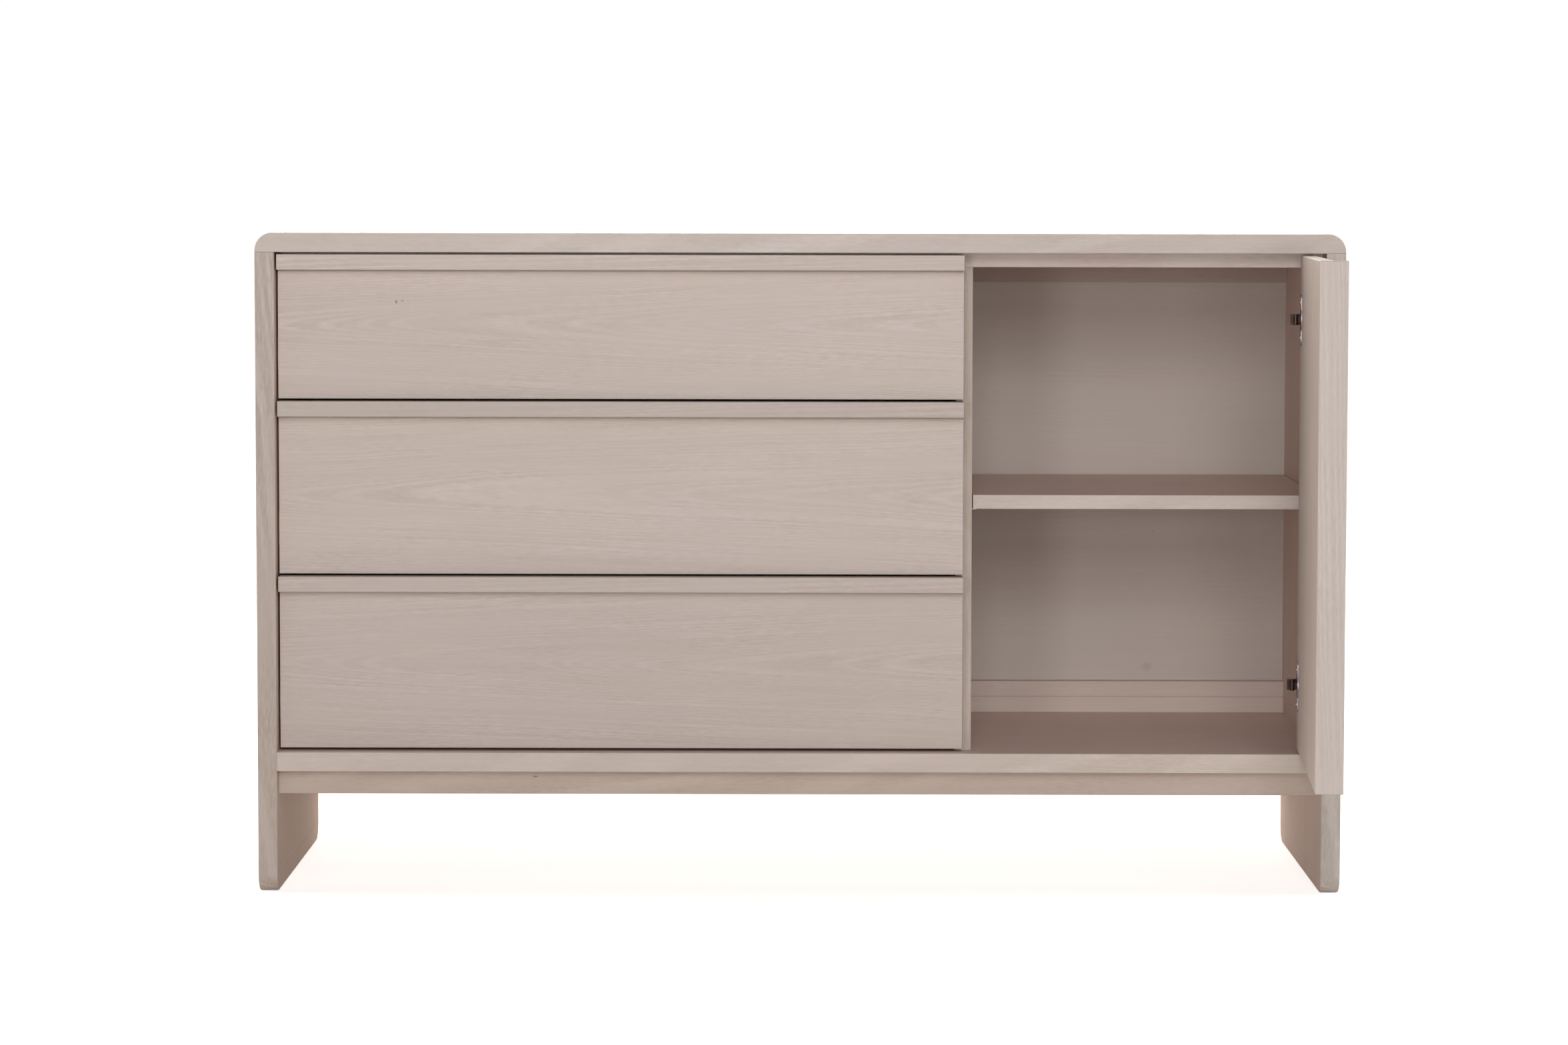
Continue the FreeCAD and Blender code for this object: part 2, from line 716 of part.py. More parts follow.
def fit_hinges(parts):
    """Two hinges: cup, link, arm, plate, pins and screws."""
    nodes = {
        name: []
        for name in (
            "hinge_cups", "hinge_cup_pins", "hinge_cup_screws", "hinge_links",
            "hinge_arms", "hinge_arm_pins", "hinge_plates", "hinge_plate_screws",
        )
    }
    link = link_outline()
    for z in hinge_heights:
        cup, plate, arm = hinge_cup(z), hinge_plate(z), hinge_arm(z)
        bore = rod(spot(cup_centre_x, front_back, z), Y_WAY * -1, cup_radius + cup_fit, cup_depth + cup_fit)
        drill(parts, ("door_panel",), bore)
        for rise in (-flange_screw_spacing / 2, flange_screw_spacing / 2):
            seat = spot(cup_centre_x - flange_screw_offset, front_back + flange_thickness, z + rise)
            nodes["hinge_cup_screws"].append(screw(seat, Y_WAY * -1, HINGE_SCREW))
            hole = screw(seat, Y_WAY * -1, HINGE_SCREW, fit_gap)
            cup = cup.cut(hole)
            drill(parts, ("door_panel",), hole)
        for rise in (-plate_screw_spacing / 2, plate_screw_spacing / 2):
            seat = spot(side_face - plate_thickness, plate_setback + plate_width / 2, z + rise)
            nodes["hinge_plate_screws"].append(screw(seat, X_WAY, HINGE_SCREW))
            hole = screw(seat, X_WAY, HINGE_SCREW, fit_gap)
            plate = plate.cut(hole)
            drill(parts, ("side_panel_right",), hole)
        half_pin = cup_pin_half_length()
        cup = cup.cut(pivot_pin(cup_pivot, z, half_pin, pin_press_gap))
        bars = link.extrude(Z_WAY * (2 * link_half_height))
        bars.translate(Z_WAY * (z - link_half_height))
        for pivot in (arm_pivot, cup_pivot):
            bars = bars.cut(pivot_pin(pivot, z, arm_half_height, pin_play))
        nodes["hinge_cups"].append(cup)
        nodes["hinge_cup_pins"].append(pivot_pin(cup_pivot, z, half_pin))
        nodes["hinge_links"].append(bars)
        nodes["hinge_arms"].append(arm)
        nodes["hinge_arm_pins"].append(pivot_pin(arm_pivot, z, arm_half_height))
        nodes["hinge_plates"].append(plate)
    parts.update({name: group(shapes) for name, shapes in nodes.items()})


LINK_NODES = ("hinge_links",)
DOOR_NODES = ("door_panel", "door_pull", "hinge_cups", "hinge_cup_pins", "hinge_cup_screws")


def swing(parts, angle):
    """Open the door and turn its links by an angle, from the closed pose."""
    moved = cup_pivot_at(angle)
    for name in LINK_NODES:
        parts[name].rotate(spot(*arm_pivot, 0), Z_WAY, -link_turn_share * angle)
    for name in DOOR_NODES:
        parts[name].translate(spot(*moved, 0) - spot(*cup_pivot, 0))
        parts[name].rotate(spot(*moved, 0), Z_WAY, angle)


def build(angle):
    """Every piece of the dresser, with the door open by an angle."""
    parts = case_boards()
    fit_dowels(parts)
    fit_cams(parts)
    fit_top_screws(parts)
    fit_back_screws(parts)
    fit_shelf_pins(parts)
    fit_drawers(parts)
    parts.update(door_boards())
    fit_hinges(parts)
    swing(parts, angle)
    return parts


def main():
    """Write one STEP file per piece."""
    os.makedirs("parts", exist_ok=True)
    parts = build(door_rest_angle)
    for name, shape in parts.items():
        if not shape.isValid():
            raise ValueError(f"{name} is not a valid solid")
        shape.exportStep(f"parts/{name}.step")
    print(len(parts), "nodes,", sum(len(shape.Solids) for shape in parts.values()), "solids")


main()
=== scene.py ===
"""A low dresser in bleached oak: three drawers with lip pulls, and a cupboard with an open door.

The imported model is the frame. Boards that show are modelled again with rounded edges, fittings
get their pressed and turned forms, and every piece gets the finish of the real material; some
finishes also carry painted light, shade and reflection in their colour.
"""

import logging
import math
from dataclasses import dataclass, replace
from enum import Enum
from functools import partial
from typing import Callable, Iterable, Sequence, Union

import bmesh
import bpy
from bmesh.types import BMEdge, BMesh
from bpy.types import ID, Material, Mesh, Node, NodeSocket, NodeTree, Object
from mathutils import Matrix, Vector


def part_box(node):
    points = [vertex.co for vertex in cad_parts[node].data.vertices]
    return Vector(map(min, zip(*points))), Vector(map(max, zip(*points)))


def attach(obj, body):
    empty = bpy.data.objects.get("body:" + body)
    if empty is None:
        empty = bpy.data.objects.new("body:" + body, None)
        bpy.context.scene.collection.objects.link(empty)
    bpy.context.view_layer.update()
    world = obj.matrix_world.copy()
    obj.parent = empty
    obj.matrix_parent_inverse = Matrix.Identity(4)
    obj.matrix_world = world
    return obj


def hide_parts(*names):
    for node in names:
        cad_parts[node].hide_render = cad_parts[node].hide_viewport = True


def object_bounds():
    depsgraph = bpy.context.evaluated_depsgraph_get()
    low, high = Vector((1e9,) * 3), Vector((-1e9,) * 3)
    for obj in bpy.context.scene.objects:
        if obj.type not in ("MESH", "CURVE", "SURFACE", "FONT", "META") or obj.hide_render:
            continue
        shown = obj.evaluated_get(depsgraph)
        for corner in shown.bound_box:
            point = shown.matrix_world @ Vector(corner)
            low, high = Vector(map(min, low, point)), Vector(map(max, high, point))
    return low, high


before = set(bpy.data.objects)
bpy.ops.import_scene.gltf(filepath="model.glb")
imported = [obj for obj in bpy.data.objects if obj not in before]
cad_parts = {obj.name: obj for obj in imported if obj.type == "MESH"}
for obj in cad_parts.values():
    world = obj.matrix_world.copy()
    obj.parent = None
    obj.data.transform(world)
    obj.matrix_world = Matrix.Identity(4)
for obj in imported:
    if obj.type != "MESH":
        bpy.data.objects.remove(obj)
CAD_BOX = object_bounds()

log = logging.getLogger("dresser")

Value = Union[float, Sequence[float], NodeSocket, Node]
Add = Callable[..., Node]
Colour = tuple[float, float, float, float]
Triple = tuple[float, float, float]
Profile = Sequence[tuple[float, float]]

MM = 0.001
NEAR = MM  # a point this close to a plane lies in it
FACING = 0.9  # the least share of a normal along the way that its face looks
ROUND_STEPS = 4  # the faces of a board's rounded edge
EASED_STEPS = 2  # and of a fitting's broken one
INNER_STEPS, OUTER_STEPS = 3, 5  # and of a sheet's bend, on both its sides
WELD, FINE_WELD = 0.01 * MM, 0.001 * MM  # points closer than this become one
FLAT = math.radians(0.5)  # faces that turn less than this become one

MEAN = 0.5  # the middle value of noise
SEED_SHIFT = (7.3, 3.1, 5.7)  # how far a seed of one moves noise, in lumps
NOISE_ROUGHNESS = 0.55  # how strong each finer octave is
FACTOR, FIRST, SECOND = 0, 6, 7  # the inputs of a colour mix

# A number for each board, that tells its figure from the others'
SEEDS = {
    "top_panel": 3, "side_panel_left": 8, "side_panel_right": 10,
    "front_apron": 23, "rear_apron": 26, "rear_rail_bottom": 29, "rear_rail_top": 32,
    "bottom_panel": 40, "inner_top": 43, "shelf": 46, "partition": 61, "back_panel": 67,
    "door_panel": 80, "door_pull": 81, "case_dowels": 5,
}


# Colours and nodes


def linear(colour: str) -> Colour:
    """Turn an sRGB colour into the linear one that shaders use.

    Args:
        colour: Six hex digits after a hash sign.

    Returns:
        Linear red, green and blue, and an alpha of one.
    """
    channels = [int(colour[start:start + 2], 16) / 255 for start in (1, 3, 5)]
    linears = [c / 12.92 if c <= 0.04045 else ((c + 0.055) / 1.055) ** 2.4 for c in channels]
    return (*linears, 1.0)


def add_node(tree: NodeTree, kind: str, inputs: dict[Union[str, int], Value], **settings: object) -> Node:
    """Add a node to a tree.

    Args:
        tree: The tree that gets the node.
        kind: The node's type name, without the words that all of them begin with.
        inputs: For each input, by name or number, a value, or the socket or the node that feeds
            it. Of a node it is the first output in use.
        settings: Properties of the node.

    Returns:
        The new node.
    """
    node = tree.nodes.new(f"ShaderNode{kind}")
    for key, setting in settings.items():
        setattr(node, key, setting)
    for key, given in inputs.items():
        if isinstance(given, Node):
            given = next(output for output in given.outputs if output.enabled)
        if isinstance(given, NodeSocket):
            tree.links.new(given, node.inputs[key])
        else:
            node.inputs[key].default_value = given
    return node


def new_material(name: str) -> tuple[Material, Add]:
    """Make a material that has no nodes yet.

    Args:
        name: The material's name.

    Returns:
        The material, and the function that adds nodes to it.
    """
    material = bpy.data.materials.new(name)
    material.use_nodes = True
    material.node_tree.nodes.clear()
    return material, partial(add_node, material.node_tree)


class Grain(Enum):
    """The way that a board's fibres run, as the turn that lays them along X."""

    ACROSS = (0.0, 0.0, 0.0)
    UPRIGHT = (0.0, math.pi / 2, 0.0)
    DEEP = (0.0, 0.0, -math.pi / 2)


class Cut(Enum):
    """Where the log's heart lies from a board's middle, as the two ways across the fibres, in mm.

    A heart under the middle of a wide face gives arches, and one far to the side gives lines.
    """

    ARCHED_FRONT = (34.0, 0.0)
    ARCHED_LEVEL = (30.0, -60.0)
    STRAIGHT_FRONT = (60.0, -420.0)
    STRAIGHT_LEVEL = (-420.0, -60.0)


def board_axes(add: Add, place: Vector, grain: Grain) -> tuple[NodeSocket, Node, Node]:
    """Add the coordinates that a board's pattern needs.

    Args:
        add: What adds nodes.
        place: The board's middle.
        grain: The way that the fibres run.

    Returns:
        Coordinates of the object, those from the board's middle, and those with its fibres along X.
    """
    spot = add("TexCoord", {}).outputs["Object"]
    centred = add("Mapping", {"Vector": spot, "Location": tuple(-place)})
    return spot, centred, add("Mapping", {"Vector": centred, "Rotation": grain.value})


def lumps(add: Add, vector: Value, size: Triple, seed: float, way: int = 0) -> Node:
    """Add noise with long or round lumps.

    Args:
        add: What adds nodes.
        vector: The coordinates, in metres.
        size: The lumps' length and width, in mm, and how many finer octaves they have.
        seed: A number that makes the noise differ.
        way: The axis along which their length lies.

    Returns:
        The noise node.
    """
    length, width, detail = size
    scale = [1 / (MM * (length if axis == way else width)) for axis in range(3)]
    shift = [seed * step for step in SEED_SHIFT]
    scaled = add("Mapping", {"Vector": vector, "Scale": scale, "Location": shift})
    return add("TexNoise", {"Vector": scaled, "Scale": 1.0, "Detail": detail, "Roughness": NOISE_ROUGHNESS})


@dataclass(frozen=True)
class Knot:
    """A pin knot or fleck: its place and size in the face, in mm, and how dark it is."""

    place: Triple
    length: float
    height: float
    strength: float
    colour: str = "#6b5348"
    core: float = 0.4  # the share of its reach that has its full strength

    def draw(self, add: Add, spot: NodeSocket, ground: Node) -> Node:
        """Draw the knot over a colour.

        Args:
            add: What adds nodes.
            spot: Object coordinates.
            ground: The colour under the knot.

        Returns:
            The colour with the knot.
        """
        off = add("VectorMath", {0: spot, 1: [c * MM for c in self.place]}, operation="SUBTRACT")
        shares = (1 / (self.length * MM), 0.0, 1 / (self.height * MM))
        scaled = add("VectorMath", {0: off, 1: shares}, operation="MULTIPLY")
        distance = add("VectorMath", {0: scaled}, operation="LENGTH")
        ends = {"From Min": self.core, "From Max": 1.0, "To Min": self.strength, "To Max": 0.0}
        near = add("MapRange", {"Value": distance, **ends}, interpolation_type="SMOOTHSTEP")
        return add("Mix", {FACTOR: near, FIRST: ground, SECOND: linear(self.colour)}, data_type="RGBA")


@dataclass(frozen=True)
class BleachedOak:
    """Sliced oak, brushed, bleached with white oil and sealed with matt lacquer.

    To the eye it is a pale warm grey with a breath of pink. Short fine pore streaks lie over
    faint year rings, and the lacquer gives a wide soft sheen only at a glancing angle.
    """

    name: str = "bleached_oak"
    light: str = "#d2c6c0"
    dark: str = "#b0a097"
    pink: str = "#c4b3b0"
    straw: str = "#c6bbac"
    tint: float = 0.5  # the share of the pink and straw wash over the figure
    tone: float = 1.0  # how light this sheet is next to the others; some copies use it for painted light and shade
    warmth: float = 0.0  # how much less blue it has; some copies use it for painted warm shade
    blush: float = 0.0  # how much more red; some copies use it for painted warm bounce light
    # Each pattern's length along the fibres, its width across them, in mm, and its finer octaves
    pores: Triple = (14.0, 1.9, 2.0)  # the real ones are 0.3 mm wide, too fine to show
    bands: Triple = (260.0, 14.0, 2.0)
    clouds: Triple = (460.0, 230.0, 1.0)
    hues: Triple = (690.0, 115.0, 2.0)
    lines: Triple = (110.0, 3.0, 3.0)
    patches: Triple = (210.0, 35.0, 2.0)  # pores and rings are deeper in some patches
    wavers: Triple = (400.0, 100.0, 1.0)
    waver: float = 5.0  # how far fibres stray to the side, in mm
    pore_weight: float = 0.52
    line_weight: float = 0.24
    band_weight: float = 0.24
    cloud_weight: float = 0.2
    ring_weight: float = 0.15
    patch_range: tuple[float, float] = (0.35, 0.65)
    depth_range: tuple[float, float] = (0.35, 1.5)
    ring_spacing: float = 7.5
    ring_start: float = -0.5  # where on the wave from -1 to 1 a ring's line begins
    ring_slope: float = 0.03
    ring_unrest: float = 18.0  # how far rings stray from their even places, in mm
    roughness: float = 0.62
    pore_roughness: float = 0.06  # what a pore adds to it, and the lacquer between takes off
    relief: float = 0.05  # how deep the pores are, in mm
    relief_strength: float = 0.35

    def shade(self, colour: str) -> Colour:
        """Give a colour this sheet's tone, warmth and blush.

        Args:
            colour: The sRGB colour, as hex digits.

        Returns:
            The linear colour.
        """
        shares = (1 + self.blush, 1 - self.warmth / 2, 1 - self.warmth)
        return (*(channel * self.tone * share for channel, share in zip(linear(colour), shares)), 1.0)

    def material(
        self, place: Vector, grain: Grain, cut: Cut, seed: float, knots: Iterable[Knot] = ()
    ) -> Material:
        """Make the finish for one board.

        Args:
            place: The board's middle, which anchors the pattern.
            grain: The way that the fibres run.
            cut: How the board lies to the log's heart.
            seed: A number that tells this board's pattern from the others.
            knots: Knots to draw, in the object's own coordinates.

        Returns:
            The material.
        """
        material, add = new_material(self.name)
        spot, _, along = board_axes(add, place, grain)
        # Straight fibres stray gently to both sides
        swing = add("VectorMath", {0: lumps(add, along, self.wavers, seed).outputs["Color"], 1: [-MEAN] * 3})
        reach = (0.0, 2 * self.waver * MM, 2 * self.waver * MM)
        shift = add("VectorMath", {0: swing, 1: reach}, operation="MULTIPLY")
        fibres = add("VectorMath", {0: along, 1: shift})
        patterns = (self.pores, self.bands, self.clouds, self.hues, self.lines, self.patches)
        pore, band, cloud, hue, line, patch = (
            lumps(add, fibres, pattern, seed + draw) for draw, pattern in enumerate(patterns, 1)
        )
        (bare, full), (low, high) = self.patch_range, self.depth_range
        ends = {"From Min": bare, "From Max": full, "To Min": low, "To Max": high}
        depth = add("MapRange", {"Value": patch, **ends})
        # In a fuller patch, pores and rings stretch further from their mean
        pore, ring = (
            add("Math", {0: add("Math", {0: drawn, 1: -MEAN}), 1: depth, 2: MEAN}, operation="MULTIPLY_ADD")
            for drawn in (pore, self._rings(add, fibres, cut))
        )
        tone: Value = MEAN
        for drawn, weight in (
            (pore, self.pore_weight), (line, self.line_weight), (band, self.band_weight),
            (cloud, self.cloud_weight), (ring, self.ring_weight),
        ):
            off = add("Math", {0: drawn, 1: -MEAN})
            tone = add("Math", {0: off, 1: 2 * weight, 2: tone}, operation="MULTIPLY_ADD")
        figure, wash = (
            add("Mix", {FACTOR: share, FIRST: self.shade(one), SECOND: self.shade(other)}, data_type="RGBA")
            for share, one, other in ((tone, self.dark, self.light), (hue, self.pink, self.straw))
        )
        colour = add("Mix", {FACTOR: self.tint, FIRST: figure, SECOND: wash}, data_type="RGBA")
        for knot in knots:
            colour = knot.draw(add, spot, colour)
        rough, smooth = self.roughness + self.pore_roughness, self.roughness - self.pore_roughness
        gloss = add("MapRange", {"Value": pore, "To Min": rough, "To Max": smooth})
        bump = add("Bump", {"Height": pore, "Strength": self.relief_strength, "Distance": self.relief * MM})
        coat = {"Base Color": colour, "Roughness": gloss, "Normal": bump}
        add("OutputMaterial", {"Surface": add("BsdfPrincipled", coat)})
        return material

    def _rings(self, add: Add, fibres: Node, cut: Cut) -> Node:
        """Add year rings around the log's heart, which tilts a little along the board.

        Args:
            add: What adds nodes.
            fibres: Coordinates with the fibres along X.
            cut: How the board lies to the heart.

        Returns:
            A value from nought, between rings, to one, on the line of a ring.
        """
        heart = (0.0, cut.value[0] * MM, cut.value[1] * MM)
        section = add("Mapping", {"Vector": fibres, "Location": heart, "Scale": (0.0, 1.0, 1.0)})
        radius = add("VectorMath", {0: section}, operation="LENGTH")
        length = add("SeparateXYZ", {0: fibres})
        tilted = add("Math", {0: length, 1: self.ring_slope, 2: radius}, operation="MULTIPLY_ADD")
        # Wide and narrow years follow each other
        unrest = self.ring_unrest * MM
        years = add("TexNoise", {"W": tilted, "Scale": 1 / unrest, "Detail": 1.0}, noise_dimensions="1D")
        strayed = add("Math", {0: years, 1: unrest, 2: tilted}, operation="MULTIPLY_ADD")
        turns = add("Math", {0: strayed, 1: math.tau / (self.ring_spacing * MM)}, operation="MULTIPLY")
        wave = add("Math", {0: turns}, operation="SINE")
        ends = {"From Min": self.ring_start, "From Max": 1.0}
        return add("MapRange", {"Value": wave, **ends}, interpolation_type="SMOOTHSTEP")


@dataclass(frozen=True)
class PlyFinish:
    """Birch plywood, rotary cut, sanded and clear lacquered.

    The faces are creamy with faint long figure, and a cut edge shows its light and dark plies.
    """

    name: str = "birch_plywood"
    pale: str = "#d9c6a9"
    warm: str = "#cbb391"
    edge: str = "#a98a63"
    figure: Triple = (160.0, 14.0, 3.0)  # length and width in mm, and finer octaves
    ply: float = 1.34  # the thickness of one veneer, in mm
    ply_range: tuple[float, float] = (0.1, -0.4)  # where on its wave a ply turns dark
    ply_weight: float = 0.55
    edge_facing: float = 0.5  # an edge looks less than this along the thickness
    roughness: float = 0.5

    def material(self, place: Vector, grain: Grain, thin: Triple, seed: float) -> Material:
        """Make the finish for one board.

        Args:
            place: The board's middle.
            grain: The way that the face fibres run.
            thin: The direction of the board's thickness.
            seed: A number that tells this board's pattern from the others.

        Returns:
            The material.
        """
        material, add = new_material(self.name)
        _, centred, along = board_axes(add, place, grain)
        woods = {FIRST: linear(self.warm), SECOND: linear(self.pale)}
        face = add("Mix", {FACTOR: lumps(add, along, self.figure, seed), **woods}, data_type="RGBA")
        depth = add("VectorMath", {0: centred, 1: thin}, operation="DOT_PRODUCT")
        plies = {0: depth, 1: math.pi / (self.ply * MM), 2: math.pi / 2}
        stripe = add("Math", {0: add("Math", plies, operation="MULTIPLY_ADD")}, operation="SINE")
        ends = {"From Min": self.ply_range[0], "From Max": self.ply_range[1]}
        dark = add("MapRange", {"Value": stripe, **ends, "To Min": 0.0, "To Max": self.ply_weight})
        normal = add("TexCoord", {}).outputs["Normal"]
        facing = add("VectorMath", {0: normal, 1: thin}, operation="DOT_PRODUCT")
        side = add("Math", {0: facing}, operation="ABSOLUTE")
        on_edge = add("Math", {0: side, 1: self.edge_facing}, operation="LESS_THAN")
        share = add("Math", {0: dark, 1: on_edge}, operation="MULTIPLY")
        colour = add("Mix", {FACTOR: share, FIRST: face, SECOND: linear(self.edge)}, data_type="RGBA")
        coat = {"Base Color": colour, "Roughness": self.roughness}
        add("OutputMaterial", {"Surface": add("BsdfPrincipled", coat)})
        return material


@dataclass(frozen=True)
class MetalFinish:
    """A plated or cast metal with fine marks along one way.

    Its colour and roughness waver a little, as plating does.
    """

    name: str
    colour: str
    shade: str
    roughness: float
    mark: Triple = (40.0, 1.2, 2.0)  # length along Y and width in mm, and finer octaves
    mark_roughness: float = 0.08  # what a dark mark adds to the roughness, and a light one takes off

    def material(self, seed: float = 0.0) -> Material:
        """Make the finish.

        Args:
            seed: A number that tells this pattern from others.

        Returns:
            The material.
        """
        material, add = new_material(self.name)
        mark = lumps(add, add("TexCoord", {}).outputs["Object"], self.mark, seed, way=1)
        ends = {FIRST: linear(self.shade), SECOND: linear(self.colour)}
        colour = add("Mix", {FACTOR: mark, **ends}, data_type="RGBA")
        rough, smooth = self.roughness + self.mark_roughness, self.roughness - self.mark_roughness
        gloss = add("MapRange", {"Value": mark, "To Min": rough, "To Max": smooth})
        coat = {"Base Color": colour, "Metallic": 1.0, "Roughness": gloss}
        add("OutputMaterial", {"Surface": add("BsdfPrincipled", coat)})
        return material


OAK = BleachedOak(warmth=-0.02)
# The fronts were sliced flat, near the heart: their close years end in pointed arches
FRONT_OAK = replace(OAK, ring_spacing=3.4, ring_slope=-0.04, waver=8.0)
# The top has one more coat of lacquer, and mirrors the white room at a glancing angle
TOP_OAK = replace(OAK, tone=0.94, roughness=0.45, relief=0.01)
# The door's sheet is cooler than the fronts beside it
DOOR_OAK = replace(OAK, tone=0.985, warmth=-0.05, blush=-0.01)
# The left end is darker and warmer, and the right end lighter and without pink
LEFT_OAK = BleachedOak(tone=0.85, warmth=0.03, cloud_weight=0.08, band_weight=0.1, tint=0.2)
RIGHT_OAK = BleachedOak(warmth=-0.02, blush=-0.05, cloud_weight=0.08, band_weight=0.1, tint=0.2)
# The aprons are darkened and warmed as painted shade of their recess under the bottom
APRON_PAINTED_SHADE_OAK = BleachedOak(name="bleached_oak_apron_painted_shade", tone=0.85, warmth=0.09)
# The boards inside had less brush and are quiet; they are also lightened and made rosy as painted light,
# standing in for the light and warm bounce inside the cupboard
INNER_OAK_PAINTED_LIGHT = BleachedOak(
    name="bleached_oak_inside_painted_light_and_shade", tone=1.11, warmth=0.04, blush=0.07, pore_weight=0.34, ring_weight=0.06
)
# Of the rails behind, the lower is lifted a little with painted light but has no rosy tinge, and the upper is
# darkened and reddened as painted shade under the inner top
RAIL_OAK = replace(INNER_OAK_PAINTED_LIGHT, tone=1.04, blush=0.0)
UPPER_RAIL_PAINTED_SHADE_OAK = replace(INNER_OAK_PAINTED_LIGHT, tone=0.66, blush=0.12)
# The partition keeps all its pores, and is darkened to a brown as painted shade on its recessed front edge
# behind the drawer fronts
PARTITION_PAINTED_SHADE_OAK = BleachedOak(name="bleached_oak_inside_painted_light_and_shade", tone=0.82, warmth=0.05)
# A thin back board with oak veneer: the quietest of all, between pink and green
BACK_OAK = BleachedOak(
    name="oak_veneered_back", pink="#c9b1ab", straw="#c0beb2", tint=0.6,
    tone=0.975, warmth=-0.01, blush=-0.015,
    pore_weight=0.12, line_weight=0.1, band_weight=0.12, ring_weight=0.05,
)
BIRCH = PlyFinish()
# Turned beech, redder than birch, for the dowels
BEECH = PlyFinish(name="turned_beech", pale="#c9a37a", warm="#b98f66")
# Rolled strip, zinc plated: cool grey with long faint drawing marks
GALVANISED = MetalFinish("galvanised_steel", "#c4c7c9", "#a9adb0", 0.36)
# Pressed steel, nickel plated: a soft grey, with a painted rosy reflection of the oak round it
NICKEL = MetalFinish("nickel_plated_steel", "#b8aab2", "#988b92", 0.36, (12.0, 1.2, 2.0))
# Pressed steel, coloured dark brown and half glossy: painted shade of the nook beside the door, where the
# arms, plates and links sit
PAINTED_SHADE_STEEL = MetalFinish("steel_with_painted_shade", "#51423d", "#3b2e2b", 0.34, (12.0, 1.2, 2.0))
# Zinc cast in a die: matt grey with short blotches
ZINC = MetalFinish("die_cast_zinc", "#b4b3b0", "#92918e", 0.5, (3.0, 3.0, 2.0))
# Cold-headed steel, zinc plated: warm grey with short marks
SCREW_STEEL = MetalFinish("zinc_plated_screw", "#aaa6a0", "#888480", 0.42, (3.0, 1.2, 2.0))


# Meshes


def middle(node: str) -> Vector:
    """The middle of a node's box."""
    low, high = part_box(node)
    return (low + high) / 2


def limits(points: Iterable[Vector]) -> tuple[Vector, Vector]:
    """The lowest and the highest corner of the box round some points."""
    spans = list(zip(*points))
    return Vector(min(span) for span in spans), Vector(max(span) for span in spans)


def standing(place: Vector, way: Vector) -> Matrix:
    """The matrix that lays a shape's Z along a way and moves it to a place."""
    return Matrix.Translation(place) @ way.to_track_quat("Z", "Y").to_matrix().to_4x4()


def solid_box(low: Vector, high: Vector) -> BMesh:
    """Start a mesh as a box.

    Args:
        low: The lowest corner, in metres.
        high: The highest corner.

    Returns:
        The mesh.
    """
    mesh = bmesh.new()
    place = Matrix.Translation((low + high) / 2) @ Matrix.Diagonal((*(high - low), 1.0))
    bmesh.ops.create_cube(mesh, size=1.0, matrix=place)
    return mesh


def bevel(mesh: BMesh, edges: Iterable[BMEdge], width: float, steps: int = ROUND_STEPS) -> None:
    """Round some edges of a mesh.

    Args:
        mesh: The mesh.
        edges: The edges to round.
        width: How far the rounding reaches, in mm.
        steps: How many faces make the curve.
    """
    bmesh.ops.bevel(
        mesh, geom=list(edges), offset=width * MM, offset_type="OFFSET", affect="EDGES",
        segments=steps, profile=0.5, material=-1, clamp_overlap=True,
    )


def sharp_edges(mesh: BMesh, least: float = 50.0) -> list[BMEdge]:
    """The edges where two faces meet at more than an angle in degrees."""
    return [e for e in mesh.edges if e.is_manifold and e.calc_face_angle(0) > math.radians(least)]


def crease(mesh: BMesh, least: float = 35.0) -> None:
    """Keep a mesh's edges crisp where its faces meet at no less than an angle in degrees."""
    for edge in mesh.edges:
        edge.smooth = not edge.is_manifold or edge.calc_face_angle(0) < math.radians(least)


def baked(mesh: BMesh, name: str) -> Mesh:
    """Turn a working mesh into mesh data.

    Args:
        mesh: The mesh, which is freed.
        name: The data's name.

    Returns:
        The data.
    """
    data = bpy.data.meshes.new(name)
    mesh.to_mesh(data)
    mesh.free()
    return data


def in_scene(name: str, data: ID) -> Object:
    """Add an object to the scene, at the origin.

    Args:
        name: The object's name.
        data: Its mesh, light or camera.

    Returns:
        The object.
    """
    added = bpy.data.objects.new(name, data)
    bpy.context.scene.collection.objects.link(added)
    return added


def finish_piece(
    mesh: BMesh, name: str, body: str, material: Material, nodes: Sequence[str]
) -> Object:
    """Turn a mesh into a piece that rides on a body.

    Args:
        mesh: The mesh, which is freed.
        name: The piece's name.
        body: The body that it moves with.
        material: Its finish.
        nodes: The nodes that it stands for.

    Returns:
        The piece.
    """
    for face in mesh.faces:
        face.smooth = True
    piece = in_scene(name, baked(mesh, name))
    piece.data.materials.append(material)
    piece.modifiers.new("even_shading", "WEIGHTED_NORMAL").keep_sharp = True
    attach(piece, body)
    if nodes:
        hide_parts(*nodes)
    log.info("%s: %d faces", name, len(piece.data.polygons))
    return piece


def dress(node: str, material: Material) -> None:
    """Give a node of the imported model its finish.

    Args:
        node: The node's name.
        material: The finish.
    """
    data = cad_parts[node].data
    data.materials.clear()
    data.materials.append(material)
    log.info("%s: finished with %s", node, material.name)


def node_mesh(node: str) -> BMesh:
    """Copy a node's mesh, welded and with its flat faces whole.

    Args:
        node: The node's name.

    Returns:
        The copy.
    """
    mesh = bmesh.new()
    mesh.from_mesh(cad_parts[node].data)
    bmesh.ops.remove_doubles(mesh, verts=mesh.verts[:], dist=WELD)
    bmesh.ops.dissolve_limit(
        mesh, angle_limit=FLAT, verts=mesh.verts[:], edges=mesh.edges[:], use_dissolve_boundaries=False
    )
    return mesh


